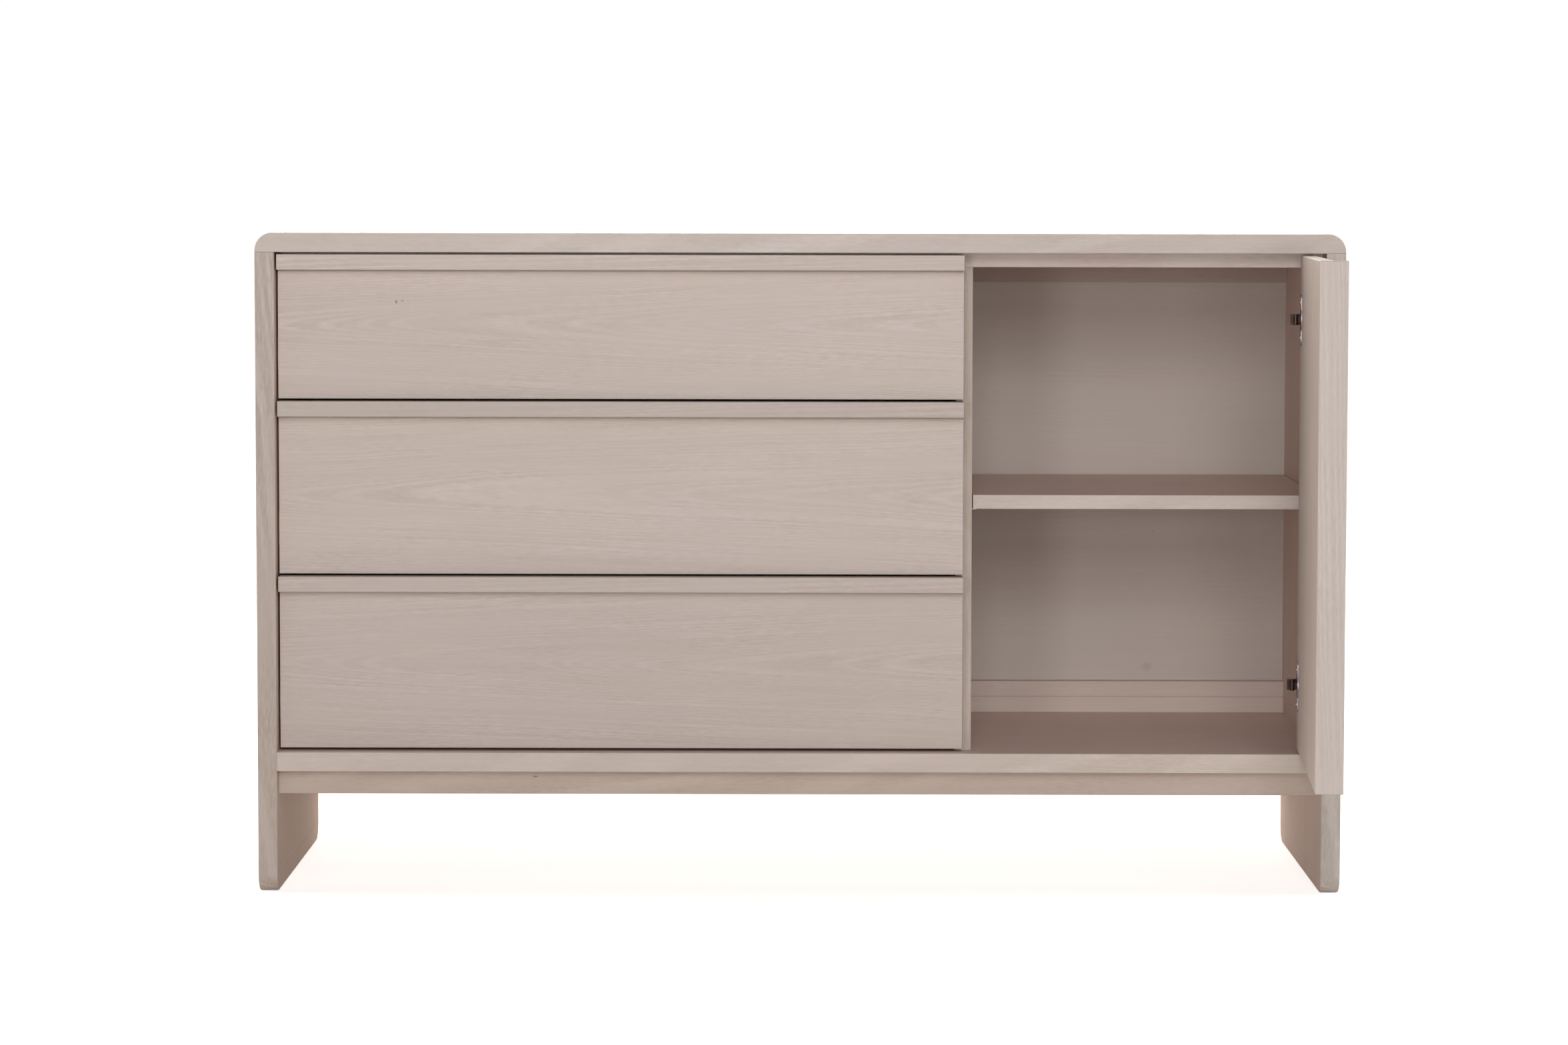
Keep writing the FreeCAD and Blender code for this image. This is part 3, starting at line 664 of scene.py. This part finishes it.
def solids_of(node: str) -> list[list[Vector]]:
    """Read the corner points of each separate solid in a node.

    Args:
        node: The node's name.

    Returns:
        One list of points for each solid.
    """
    mesh = node_mesh(node)
    mesh.verts.index_update()
    seen: set[int] = set()
    solids = []
    for start in mesh.verts:
        if start.index in seen:
            continue
        seen.add(start.index)
        queue, points = [start], []
        while queue:
            vert = queue.pop()
            points.append(vert.co.copy())
            fresh = [e.other_vert(vert) for e in vert.link_edges if e.other_vert(vert).index not in seen]
            seen.update(other.index for other in fresh)
            queue += fresh
        solids.append(points)
    mesh.free()
    return solids


def turned(profile: Profile, steps: int = 32) -> BMesh:
    """Turn a profile round Z, as a lathe does.

    Args:
        profile: Radius and height of each point, in metres, from axis to axis.
        steps: How many faces go round.

    Returns:
        The closed mesh.
    """
    mesh = bmesh.new()
    line = [mesh.verts.new((radius, 0.0, height)) for radius, height in profile]
    edges = [mesh.edges.new(pair) for pair in zip(line, line[1:])]
    bmesh.ops.spin(
        mesh, geom=line + edges, cent=(0, 0, 0), axis=(0, 0, 1), angle=math.tau, steps=steps, use_merge=True
    )
    bmesh.ops.remove_doubles(mesh, verts=mesh.verts[:], dist=FINE_WELD)
    bmesh.ops.recalc_face_normals(mesh, faces=mesh.faces[:])
    return mesh


def with_cross(mesh: BMesh, top: float, reach: float, width: float, depth: float) -> BMesh:
    """Sink a driver's cross into the top of a mesh.

    Args:
        mesh: The mesh, which is freed.
        top: The height of its top, in metres.
        reach: How far each bar of the cross reaches from the middle.
        width: How wide a bar is.
        depth: How deep the cross is.

    Returns:
        The mesh with its cross.
    """
    bars = []
    for turn in (0.0, math.pi / 2):
        bar = bmesh.new()
        size = Matrix.Diagonal((2 * reach, width, 2 * depth, 1.0))
        bmesh.ops.create_cube(bar, size=1.0, matrix=Matrix.Rotation(turn, 4, "Z") @ size)
        # A bar is half as long and half as wide at its foot
        for vert in bar.verts:
            if vert.co.z < 0:
                vert.co.x, vert.co.y = vert.co.x / 2, vert.co.y / 2
            vert.co.z += top
        bars.append(bar)
    whole, *cutters = (in_scene("recess", baked(part, "recess")) for part in (mesh, *bars))
    for cutter in cutters:
        cut = whole.modifiers.new("cut", "BOOLEAN")
        cut.operation, cut.solver, cut.object = "DIFFERENCE", "EXACT", cutter
    made = bmesh.new()
    made.from_object(whole, bpy.context.evaluated_depsgraph_get())
    for shape in (whole, *cutters):
        data = shape.data
        bpy.data.objects.remove(shape)
        bpy.data.meshes.remove(data)
    return made


def gather(shapes: Iterable[BMesh]) -> BMesh:
    """Join meshes into one.

    Args:
        shapes: The meshes, which are freed.

    Returns:
        The whole.
    """
    whole = bmesh.new()
    for shape in shapes:
        data = baked(shape, "part")
        whole.from_mesh(data)
        bpy.data.meshes.remove(data)
    return whole


@dataclass(frozen=True)
class Screw:
    """A cross-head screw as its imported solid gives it, with sizes in metres."""

    head: float
    shank: float
    rise: float
    length: float
    place: Matrix
    # A domed head in shares of its radius and rise, and a countersunk one in shares of its radius
    dome: Profile = ((0.5, 1.0), (0.78, 0.88), (0.93, 0.6), (1.0, 0.12), (0.98, 0.0))
    sunk: Profile = ((0.96, 0.0), (1.0, -0.05))
    # Reach, width and depth of the driver's cross, in shares of the head's radius
    cross: Triple = (0.62, 0.3, 0.42)
    steps: int = 28

    @classmethod
    def measured(cls, points: Sequence[Vector]) -> "Screw":
        """Read a screw's sizes and place from its solid.

        Args:
            points: The corner points of the solid.

        Returns:
            The screw.
        """
        end_depth, rim_share, least_rise = 0.05 * MM, 0.97, 0.2 * MM
        low, high = limits(points)
        span, core = high - low, (low + high) / 2
        axis = max(range(3), key=lambda way: span[way])

        def radius(point: Vector) -> float:
            """How far a point lies from the screw's axis."""
            off = Vector(0.0 if way == axis else point[way] - core[way] for way in range(3))
            return off.length

        ends = [max(radius(p) for p in points if abs(p[axis] - end[axis]) < end_depth) for end in (low, high)]
        forward = ends[1] > ends[0]
        top = high[axis] if forward else low[axis]
        head, shank = max(ends), min(ends)
        rise = max(abs(p[axis] - top) for p in points if radius(p) > rim_share * head)
        rise = rise if rise > least_rise else 0.0
        seat, way = core.copy(), Vector((0, 0, 0))
        seat[axis] = top - rise if forward else top + rise
        way[axis] = 1.0 if forward else -1.0
        return cls(head, shank, rise, span[axis] - rise, standing(seat, way))

    def mesh(self) -> BMesh:
        """Build the screw where its solid is.

        Returns:
            The mesh.
        """
        taper = self.shank - self.head
        rim, height, neck = (self.dome, self.rise, 0.0) if self.rise > 0 else (self.sunk, self.head, taper)
        head = [(0.0, self.rise)] + [(across * self.head, up * height) for across, up in rim]
        shank = [(self.shank, neck), (self.shank, taper - self.length), (0.0, -self.length)]
        shape = turned(head + shank, self.steps)
        shape = with_cross(shape, self.rise, *(share * self.head for share in self.cross))
        shape.transform(self.place)
        return shape


def fit_screws(node: str, body: str) -> None:
    """Put cross-head screws in place of a node of plain ones.

    Args:
        node: The node.
        body: The body that it rides on.
    """
    mesh = gather(Screw.measured(points).mesh() for points in solids_of(node))
    crease(mesh)
    finish_piece(mesh, f"{node}_cross_head", body, SCREW_STEEL.material(), [node])


def soften(node: str, body: str, material: Material, width: float) -> None:
    """Put a copy with broken edges in a node's place.

    Args:
        node: The node.
        body: The body that it rides on.
        material: Its finish.
        width: How much the edges are broken, in mm.
    """
    mesh = node_mesh(node)
    bevel(mesh, sharp_edges(mesh), width, EASED_STEPS)
    crease(mesh)
    finish_piece(mesh, f"{node}_eased", body, material, [node])


def fold(node: str, body: str, seed: float = 0.0) -> None:
    """Put a copy with round bends along Y in place of a node of rolled sheet steel.

    Args:
        node: The node.
        body: The body that it rides on.
        seed: A number that tells its marks from the others'.
    """
    # The sheet's thickness, the outer radius of its bends and the shortest bend, in mm
    gauge, radius, shortest = 1.2, 1.9, 100.0
    mesh = node_mesh(node)
    wide = {f for f in mesh.faces if f.calc_area() / max(e.calc_length() for e in f.edges) > 2 * gauge * MM}
    bends = [e for e in sharp_edges(mesh) if abs(e.verts[0].co.y - e.verts[1].co.y) > shortest * MM]
    outer = [e for e in bends if e.is_convex and wide.issuperset(e.link_faces)]
    bevel(mesh, [e for e in bends if not e.is_convex], radius - gauge, INNER_STEPS)
    bevel(mesh, [e for e in outer if e.is_valid], radius, OUTER_STEPS)
    crease(mesh)
    finish_piece(mesh, f"{node}_eased", body, GALVANISED.material(seed), [node])


# The case


@dataclass
class Case:
    """Top, sides, bottom and the inner boards."""

    arris: float = 0.5
    top_round: float = 23.0
    foot_round: float = 24.0
    foot_arris: float = 2.2
    inner_painted_light: float = 1.2  # the sides' inner faces get a lighter, warmer copy: painted light inside the cupboard
    inner_painted_warmth: float = 0.05
    round_steps: int = 24
    body: str = "case"
    apron_flecks: tuple[Knot, ...] = (Knot((-342.0, -20.0, 150.0), 4.5, 1.4, 0.7),)
    rail_seams: tuple[Knot, ...] = (Knot((445.0, 474.0, 205.2), 900.0, 1.1, 0.3),)
    # A pale grey smudge low in the cupboard, and a dot above it
    back_marks: tuple[Knot, ...] = (
        Knot((485.7, 455.0, 245.6), 9.0, 8.0, 0.16), Knot((493.6, 455.0, 435.4), 1.4, 1.4, 0.55)
    )

    def build(self) -> None:
        """Build every board of the case."""
        self.top()
        for node, side in (("side_panel_left", -1), ("side_panel_right", 1)):
            self.side(node, side)
        for node, sheet, slot, marks in (
            ("front_apron", APRON_PAINTED_SHADE_OAK, "bleached_oak", self.apron_flecks),
            ("rear_apron", APRON_PAINTED_SHADE_OAK, "bleached_oak", ()),
            ("rear_rail_bottom", RAIL_OAK, "oak_inside", self.rail_seams),
            ("rear_rail_top", UPPER_RAIL_PAINTED_SHADE_OAK, "oak_inside", ()),
        ):
            oak = sheet.material(middle(node), Grain.ACROSS, Cut.STRAIGHT_LEVEL, SEEDS[node], marks)
            self.plain(node, (oak,))
        for node in ("bottom_panel", "inner_top", "shelf"):
            slot = "bleached_oak" if node == "bottom_panel" else "oak_inside"
            # The faces inside take the copy with painted light, and the front edge the plain oak
            finishes = [
                sheet.material(middle(node), Grain.ACROSS, Cut.STRAIGHT_LEVEL, SEEDS[node])
                for sheet in (INNER_OAK_PAINTED_LIGHT, OAK)
            ]
            self.plain(node, finishes)
        for node, sheet, grain, cut, marks in (
            ("partition", PARTITION_PAINTED_SHADE_OAK, Grain.UPRIGHT, Cut.STRAIGHT_LEVEL, ()),
            ("back_panel", BACK_OAK, Grain.ACROSS, Cut.ARCHED_FRONT, self.back_marks),
        ):
            dress(node, sheet.material(middle(node), grain, cut, SEEDS[node], marks))

    def top(self) -> None:
        """Build the top, whose ends round over."""
        node = "top_panel"
        low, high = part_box(node)
        mesh = solid_box(low, high)
        ends = [
            e for e in mesh.edges
            if all(v.co.z > high.z - NEAR for v in e.verts) and abs(e.verts[0].co.x - e.verts[1].co.x) < NEAR
        ]
        bevel(mesh, ends, self.top_round, self.round_steps)
        bevel(mesh, sharp_edges(mesh), self.arris)
        oak = TOP_OAK.material(middle(node), Grain.ACROSS, Cut.STRAIGHT_LEVEL, SEEDS[node])
        finish_piece(mesh, "top_board", self.body, oak, [node])

    def side(self, node: str, side: int) -> None:
        """Build a side panel with round lower corners.

        Args:
            node: The node that it stands for.
            side: -1 for the left, 1 for the right.
        """
        low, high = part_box(node)
        mesh = solid_box(low, high)
        corners = [
            e for e in mesh.edges
            if all(v.co.z < low.z + NEAR for v in e.verts) and abs(e.verts[0].co.y - e.verts[1].co.y) < NEAR
        ]
        bevel(mesh, corners, self.foot_round, self.round_steps)
        # The arris widens towards the foot
        weight = mesh.edges.layers.float.new("bevel_weight_edge")
        for edge in sharp_edges(mesh):
            height = (edge.verts[0].co.z + edge.verts[1].co.z) / 2 - low.z
            low_share = max(0.0, 1 - height / (self.foot_round * MM))
            edge[weight] = self.arris / self.foot_arris * (1 - low_share) + low_share
        sheet = LEFT_OAK if side < 0 else RIGHT_OAK
        # The inner faces take a lightened, warmer copy: painted light inside the cupboard
        inner = replace(INNER_OAK_PAINTED_LIGHT, tone=sheet.tone * self.inner_painted_light, warmth=sheet.warmth + self.inner_painted_warmth)
        oak, inner_oak = (
            finish.material(middle(node), Grain.UPRIGHT, Cut.ARCHED_LEVEL, SEEDS[node])
            for finish in (sheet, inner)
        )
        for face in mesh.faces:
            face.material_index = 1 if face.normal.x * side < -FACING else 0
        piece = finish_piece(mesh, node.replace("panel", "board"), self.body, oak, [node])
        piece.data.materials.append(inner_oak)
        rounding = piece.modifiers.new("arris", "BEVEL")
        rounding.width, rounding.segments, rounding.limit_method = self.foot_arris * MM, ROUND_STEPS, "WEIGHT"
        # The rounding comes before the even shading
        piece.modifiers.move(1, 0)

    def plain(self, node: str, finishes: Sequence[Material]) -> None:
        """Build a flat board with eased edges in a node's place.

        Args:
            node: The node that it stands for.
            finishes: The finish, and a second one for the front edge when the first is an inside copy with
                painted light.
        """
        mesh = solid_box(*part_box(node))
        for face in mesh.faces:
            face.material_index = len(finishes) - 1 if face.normal.y < -FACING else 0
        bevel(mesh, mesh.edges[:], self.arris)
        piece = finish_piece(mesh, f"{node}_board", self.body, finishes[0], [node])
        for finish in finishes[1:]:
            piece.data.materials.append(finish)


# Drawers


@dataclass
class Drawer:
    """A drawer: its front and lip, its plywood box and its runners' moving members."""

    name: str
    seed: float  # each part adds the length of its name to it
    # Below one it darkens the front; on the lower drawer that is painted shade where the light falls off
    # towards the bottom
    front_tone_and_shade: float = 1.0
    lip_tone: float = 1.0
    heart: float = 0.0  # how far the arches' axis lies over the front's middle
    arris: float = 0.5
    lip_groove: float = 3.0  # the panel's upper arris, under the lip
    lip_break: float = 1.6  # the lip's lower arris, over the panel
    knots: tuple[Knot, ...] = ()
    # Each drawer's figure starts further along the sheet, in metres for each step of the seed
    sheet_step: float = 0.13
    sheet_start: float = 0.3

    @property
    def body(self) -> str:
        """The body that the drawer's pieces ride on."""
        return f"drawer_{self.name}"

    def build(self) -> None:
        """Build the front and the lip, the box's finish and the fittings."""
        self.board("front", replace(FRONT_OAK, tone=self.front_tone_and_shade), Cut.ARCHED_FRONT, self.knots)
        self.board("pull", replace(OAK, tone=self.lip_tone), Cut.STRAIGHT_FRONT)
        for part, grain, thin in (
            ("box_front", Grain.ACROSS, (0, 1, 0)),
            ("box_back", Grain.ACROSS, (0, 1, 0)),
            ("box_side_left", Grain.DEEP, (1, 0, 0)),
            ("box_side_right", Grain.DEEP, (1, 0, 0)),
            ("bottom", Grain.ACROSS, (0, 0, 1)),
        ):
            node = f"{self.body}_{part}"
            dress(node, BIRCH.material(middle(node), grain, thin, self.seed + len(part)))
        fit_screws(f"{self.body}_screws", self.body)
        for node, body in (
            (f"runner_{self.body}", self.body), (f"runner_middle_{self.name}", f"runner_{self.name}")
        ):
            fold(node, body, len(node))

    def board(self, part: str, sheet: BleachedOak, cut: Cut, knots: Iterable[Knot] = ()) -> None:
        """Build the front panel or the lip.

        Args:
            part: Which of the two.
            sheet: Its finish.
            cut: How the sheet was cut.
            knots: Knots in its face.
        """
        node = f"{self.body}_{part}"
        low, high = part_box(node)
        mesh = solid_box(low, high)
        level, width = (high.z, self.lip_groove) if part == "front" else (low.z, self.lip_break)
        joint = [
            e for e in mesh.edges
            if all(abs(v.co.z - level) < NEAR and v.co.y < low.y + NEAR for v in e.verts)
        ]
        bevel(mesh, joint, width)
        bevel(mesh, sharp_edges(mesh), self.arris)
        shift = Vector((self.sheet_step * self.seed - self.sheet_start, 0.0, self.heart * MM))
        oak = sheet.material(middle(node) + shift, Grain.ACROSS, cut, self.seed + len(part), knots)
        finish_piece(mesh, f"{node}_board", self.body, oak, [node])


# Door and fittings


@dataclass
class Door:
    """The door with its lip and hinges."""

    edge_break: float = 0.3
    web_depth: float = 12.1  # the arm's outer face from its inner edge
    adjuster_radius: float = 3.2
    adjuster_rise: float = 0.9
    adjuster_places: tuple[float, ...] = (0.45, 0.84)  # shares of the arm's length
    # The profile in shares of radius and rise, and the cross's reach, width and depth likewise
    adjuster_profile: Profile = ((0.0, 1.0), (0.7, 1.0), (1.0, 0.4), (1.0, 0.0), (0.0, 0.0))
    adjuster_cross: Triple = (0.68, 0.26, 0.8)
    adjuster_steps: int = 28
    adjuster_seed: float = 3.0

    def build(self) -> None:
        """Build the door and its hinges."""
        for node in ("door_panel", "door_pull"):
            dress(node, DOOR_OAK.material(middle(node), Grain.UPRIGHT, Cut.STRAIGHT_FRONT, SEEDS[node]))
        # The arms, plates and links take the dark steel, which is painted shade of the nook beside the door
        for node, body, metal in (
            ("hinge_cups", "door", NICKEL),
            ("hinge_arms", "case", PAINTED_SHADE_STEEL),
            ("hinge_plates", "case", PAINTED_SHADE_STEEL),
            ("hinge_links", "hinge_links", PAINTED_SHADE_STEEL),
        ):
            soften(node, body, metal.material(), self.edge_break)
        for node in ("hinge_arm_pins", "hinge_cup_pins"):
            dress(node, SCREW_STEEL.material())
        fit_screws("hinge_cup_screws", "door")
        fit_screws("hinge_plate_screws", "case")
        self.adjusters()

    def adjusters(self) -> None:
        """Add the two adjusting screws of each hinge arm."""
        radius, rise = self.adjuster_radius * MM, self.adjuster_rise * MM
        reach, width, depth = self.adjuster_cross
        shapes = []
        for points in solids_of("hinge_arms"):
            low, high = limits(points)
            for share in self.adjuster_places:
                profile = [(across * radius, up * rise) for across, up in self.adjuster_profile]
                shape = turned(profile, self.adjuster_steps)
                shape = with_cross(shape, rise, reach * radius, width * radius, depth * rise)
                seat = Vector((
                    high.x - self.web_depth * MM, low.y + share * (high.y - low.y), (low.z + high.z) / 2
                ))
                shape.transform(standing(seat, Vector((-1, 0, 0))))
                shapes.append(shape)
        mesh = gather(shapes)
        crease(mesh)
        steel = SCREW_STEEL.material(self.adjuster_seed)
        finish_piece(mesh, "hinge_adjusters", "case", steel, [])


@dataclass
class Fittings:
    """Dowels, cams, screws, pins and the runner members of the case."""

    pin_break: float = 0.6
    pin_seed: float = 2.0
    cam_radius: float = 6.0  # a solid wider than this is a cam, and the others are its bolts
    cam_break: float = 0.6
    cross_shares: tuple[float, float] = (0.6, 0.2)  # its reach and width, of the cam's radius
    cross_depth: float = 2.4

    def build(self) -> None:
        """Build or dress the fittings."""
        dowels = "case_dowels"
        dress(dowels, BEECH.material(middle(dowels), Grain.ACROSS, (0, 0, 1), SEEDS[dowels]))
        self.cams()
        soften("shelf_pins", "case", NICKEL.material(self.pin_seed), self.pin_break)
        fold("runner_case_members", "case")
        for node in ("top_screws", "back_screws", "runner_case_screws"):
            fit_screws(node, "case")

    def cams(self) -> None:
        """Build the cam housings with their driver's cross, and their bolts."""
        shapes = []
        for points in solids_of("cam_fittings"):
            low, high = limits(points)
            span, core = high - low, (low + high) / 2
            radius = span.y / 2
            if radius < self.cam_radius * MM:
                half = span.x / 2
                shape = turned([(0.0, half), (radius, half), (radius, -half), (0.0, -half)])
                turn = Matrix.Rotation(math.pi / 2, 4, "Y")
            else:
                half, edge = span.z / 2, self.cam_break * MM
                shape = turned(
                    [(0.0, half), (radius - edge, half), (radius, half - edge), (radius, -half), (0.0, -half)]
                )
                reach, width = (share * radius for share in self.cross_shares)
                shape = with_cross(shape, half, reach, width, self.cross_depth * MM)
                from_below = core.z < CAD_BOX[1][2] / 2
                turn = Matrix.Rotation(math.pi if from_below else 0.0, 4, "X")
            shape.transform(Matrix.Translation(core) @ turn)
            shapes.append(shape)
        mesh = gather(shapes)
        crease(mesh)
        finish_piece(mesh, "cam_fittings_cast", "case", ZINC.material(), ["cam_fittings"])


# Stage


@dataclass(frozen=True)
class Softbox:
    """A square soft light: its name, place, size in metres, power in watts, colour and aim."""

    name: str
    place: Triple
    size: float
    power: float
    colour: str = "#ffffff"
    aim: Triple = (0.0, 0.0, 0.45)

    def hang(self) -> None:
        """Put the light in the scene, unseen by the camera."""
        data = bpy.data.lights.new(self.name, "AREA")
        data.size, data.energy, data.color = self.size, self.power, linear(self.colour)[:3]
        lamp = in_scene(self.name, data)
        lamp.location = self.place
        way = Vector(self.aim) - Vector(self.place)
        lamp.rotation_euler = way.to_track_quat("-Z", "Y").to_euler()
        lamp.visible_camera = False


SOFTBOXES = (
    Softbox("key_in_front", (0.6, -6.5, 0.75), 1.3, 46.0),
    Softbox("key_upper", (0.2, -6.5, 2.5), 1.5, 89.0),
    Softbox("key_above", (0.6, -5.0, 3.4), 2.4, 60.0),
    # Small and from the left, it draws the partition's soft shadow on the back panel
    Softbox("left_spot", (-1.45, -5.6, 0.8), 0.7, 35.0),
    # The room's own warm light reaches the top, the sides and the back
    Softbox("ceiling", (0.0, 1.2, 4.6), 3.0, 35.0, "#fff9ee"),
    Softbox("rear_fill", (0.0, 5.0, 2.2), 3.0, 126.0, "#fff9ee"),
    Softbox("left_fill", (-5.0, 0.6, 1.6), 2.0, 126.0, "#fff0e2"),
    Softbox("right_fill", (5.0, 0.6, 1.6), 2.0, 126.0, "#fff7e9"),
)


@dataclass
class Studio:
    """Floor, lights and camera, with lengths in metres."""

    front: float = -0.0372285  # y of the case's front plane
    distance: float = 5.83983
    across: float = 0.00335
    height: float = 0.90642
    pitch: float = 0.0725  # radians below level
    heading: float = -0.0040
    roll: float = 0.0016
    focal: float = 6821.25  # in pixels of an image 2352 wide
    image_width: float = 2352.0
    sensor: float = 36.0  # in mm
    far_clip: float = 100.0
    ambient: float = 0.055  # the light that comes from all round
    floor_colour: str = "#efebe6"
    floor_reach: float = 30.0
    floor_roughness: float = 0.9
    near_glow: float = 0.66  # what the floor shows of its own light, round the object
    near_reach: float = 1.3
    far_glow: float = 0.96  # and far from it, where it meets the white backdrop
    far_reach: float = 3.5

    def camera(self) -> None:
        """Place the camera where the photograph was taken."""
        data = bpy.data.cameras.new("camera")
        data.sensor_width = self.sensor
        data.lens = self.focal * self.sensor / self.image_width
        data.clip_end = self.far_clip
        camera = in_scene("camera", data)
        ahead = Vector((
            math.sin(self.heading) * math.cos(self.pitch),
            math.cos(self.heading) * math.cos(self.pitch),
            -math.sin(self.pitch),
        ))
        right = Vector((math.cos(self.heading), -math.sin(self.heading), 0))
        up = right.cross(ahead)
        tilt = Matrix.Rotation(-self.roll, 3, ahead)
        axes = Matrix((tilt @ right, tilt @ up, -ahead)).transposed()
        eye = (self.across, self.front - self.distance, self.height)
        camera.matrix_world = Matrix.Translation(eye) @ axes.to_4x4()
        bpy.context.scene.camera = camera

    def floor(self) -> None:
        """Add the pale plain floor."""
        mesh = bmesh.new()
        bmesh.ops.create_grid(mesh, x_segments=1, y_segments=1, size=self.floor_reach)
        material, add = new_material("white_studio_floor")
        away = add("VectorMath", {0: add("TexCoord", {}).outputs["Object"]}, operation="LENGTH")
        reach = {"From Min": self.near_reach, "From Max": self.far_reach}
        glow = add("MapRange", {"Value": away, **reach, "To Min": self.near_glow, "To Max": self.far_glow})
        seen = add("LightPath", {}).outputs["Is Camera Ray"]
        strength = add("MapRange", {"Value": seen, "To Min": self.ambient, "To Max": glow})
        coat = {"Base Color": linear(self.floor_colour), "Roughness": self.floor_roughness}
        light = {"Emission Color": linear("#ffffff"), "Emission Strength": strength}
        add("OutputMaterial", {"Surface": add("BsdfPrincipled", {**coat, **light})})
        floor = in_scene("floor", baked(mesh, "floor"))
        floor.data.materials.append(material)

    def backdrop(self) -> None:
        """Surround the scene with white that lights it less than it shows."""
        world = bpy.data.worlds.new("studio")
        bpy.context.scene.world = world
        world.use_nodes = True
        world.node_tree.nodes.clear()
        add = partial(add_node, world.node_tree)
        lights = add("LightPath", {}).outputs["Is Diffuse Ray"]
        strength = add("MapRange", {"Value": lights, "To Min": 1.0, "To Max": self.ambient})
        white = add("Background", {"Color": linear("#ffffff"), "Strength": strength})
        add("OutputWorld", {"Surface": white})

    def build(self) -> None:
        """Set the stage."""
        scene = bpy.context.scene
        scene.view_settings.view_transform = "Standard"
        scene.view_settings.look = "None"
        self.backdrop()
        for softbox in SOFTBOXES:
            softbox.hang()
        self.floor()
        self.camera()


def main() -> None:
    """Build the dresser and its stage."""
    logging.basicConfig(level=logging.INFO, format="%(message)s")
    pin_knots = (Knot((-520.0, -17.0, 765.0), 1.8, 3.4, 0.7), Knot((-512.0, -17.0, 766.5), 2.4, 1.8, 0.4))
    drawers = (
        Drawer("upper", 100, heart=14.0, knots=pin_knots),
        Drawer("middle", 111, front_tone_and_shade=0.99, lip_tone=0.88),
        # The lower front is darkened as painted shade where the light falls off towards the bottom
        Drawer("lower", 122, front_tone_and_shade=0.925, lip_tone=0.91, heart=8.0),
    )
    for assembly in (Case(), *drawers, Door(), Fittings(), Studio()):
        assembly.build()


if __name__ == "__main__":
    main()
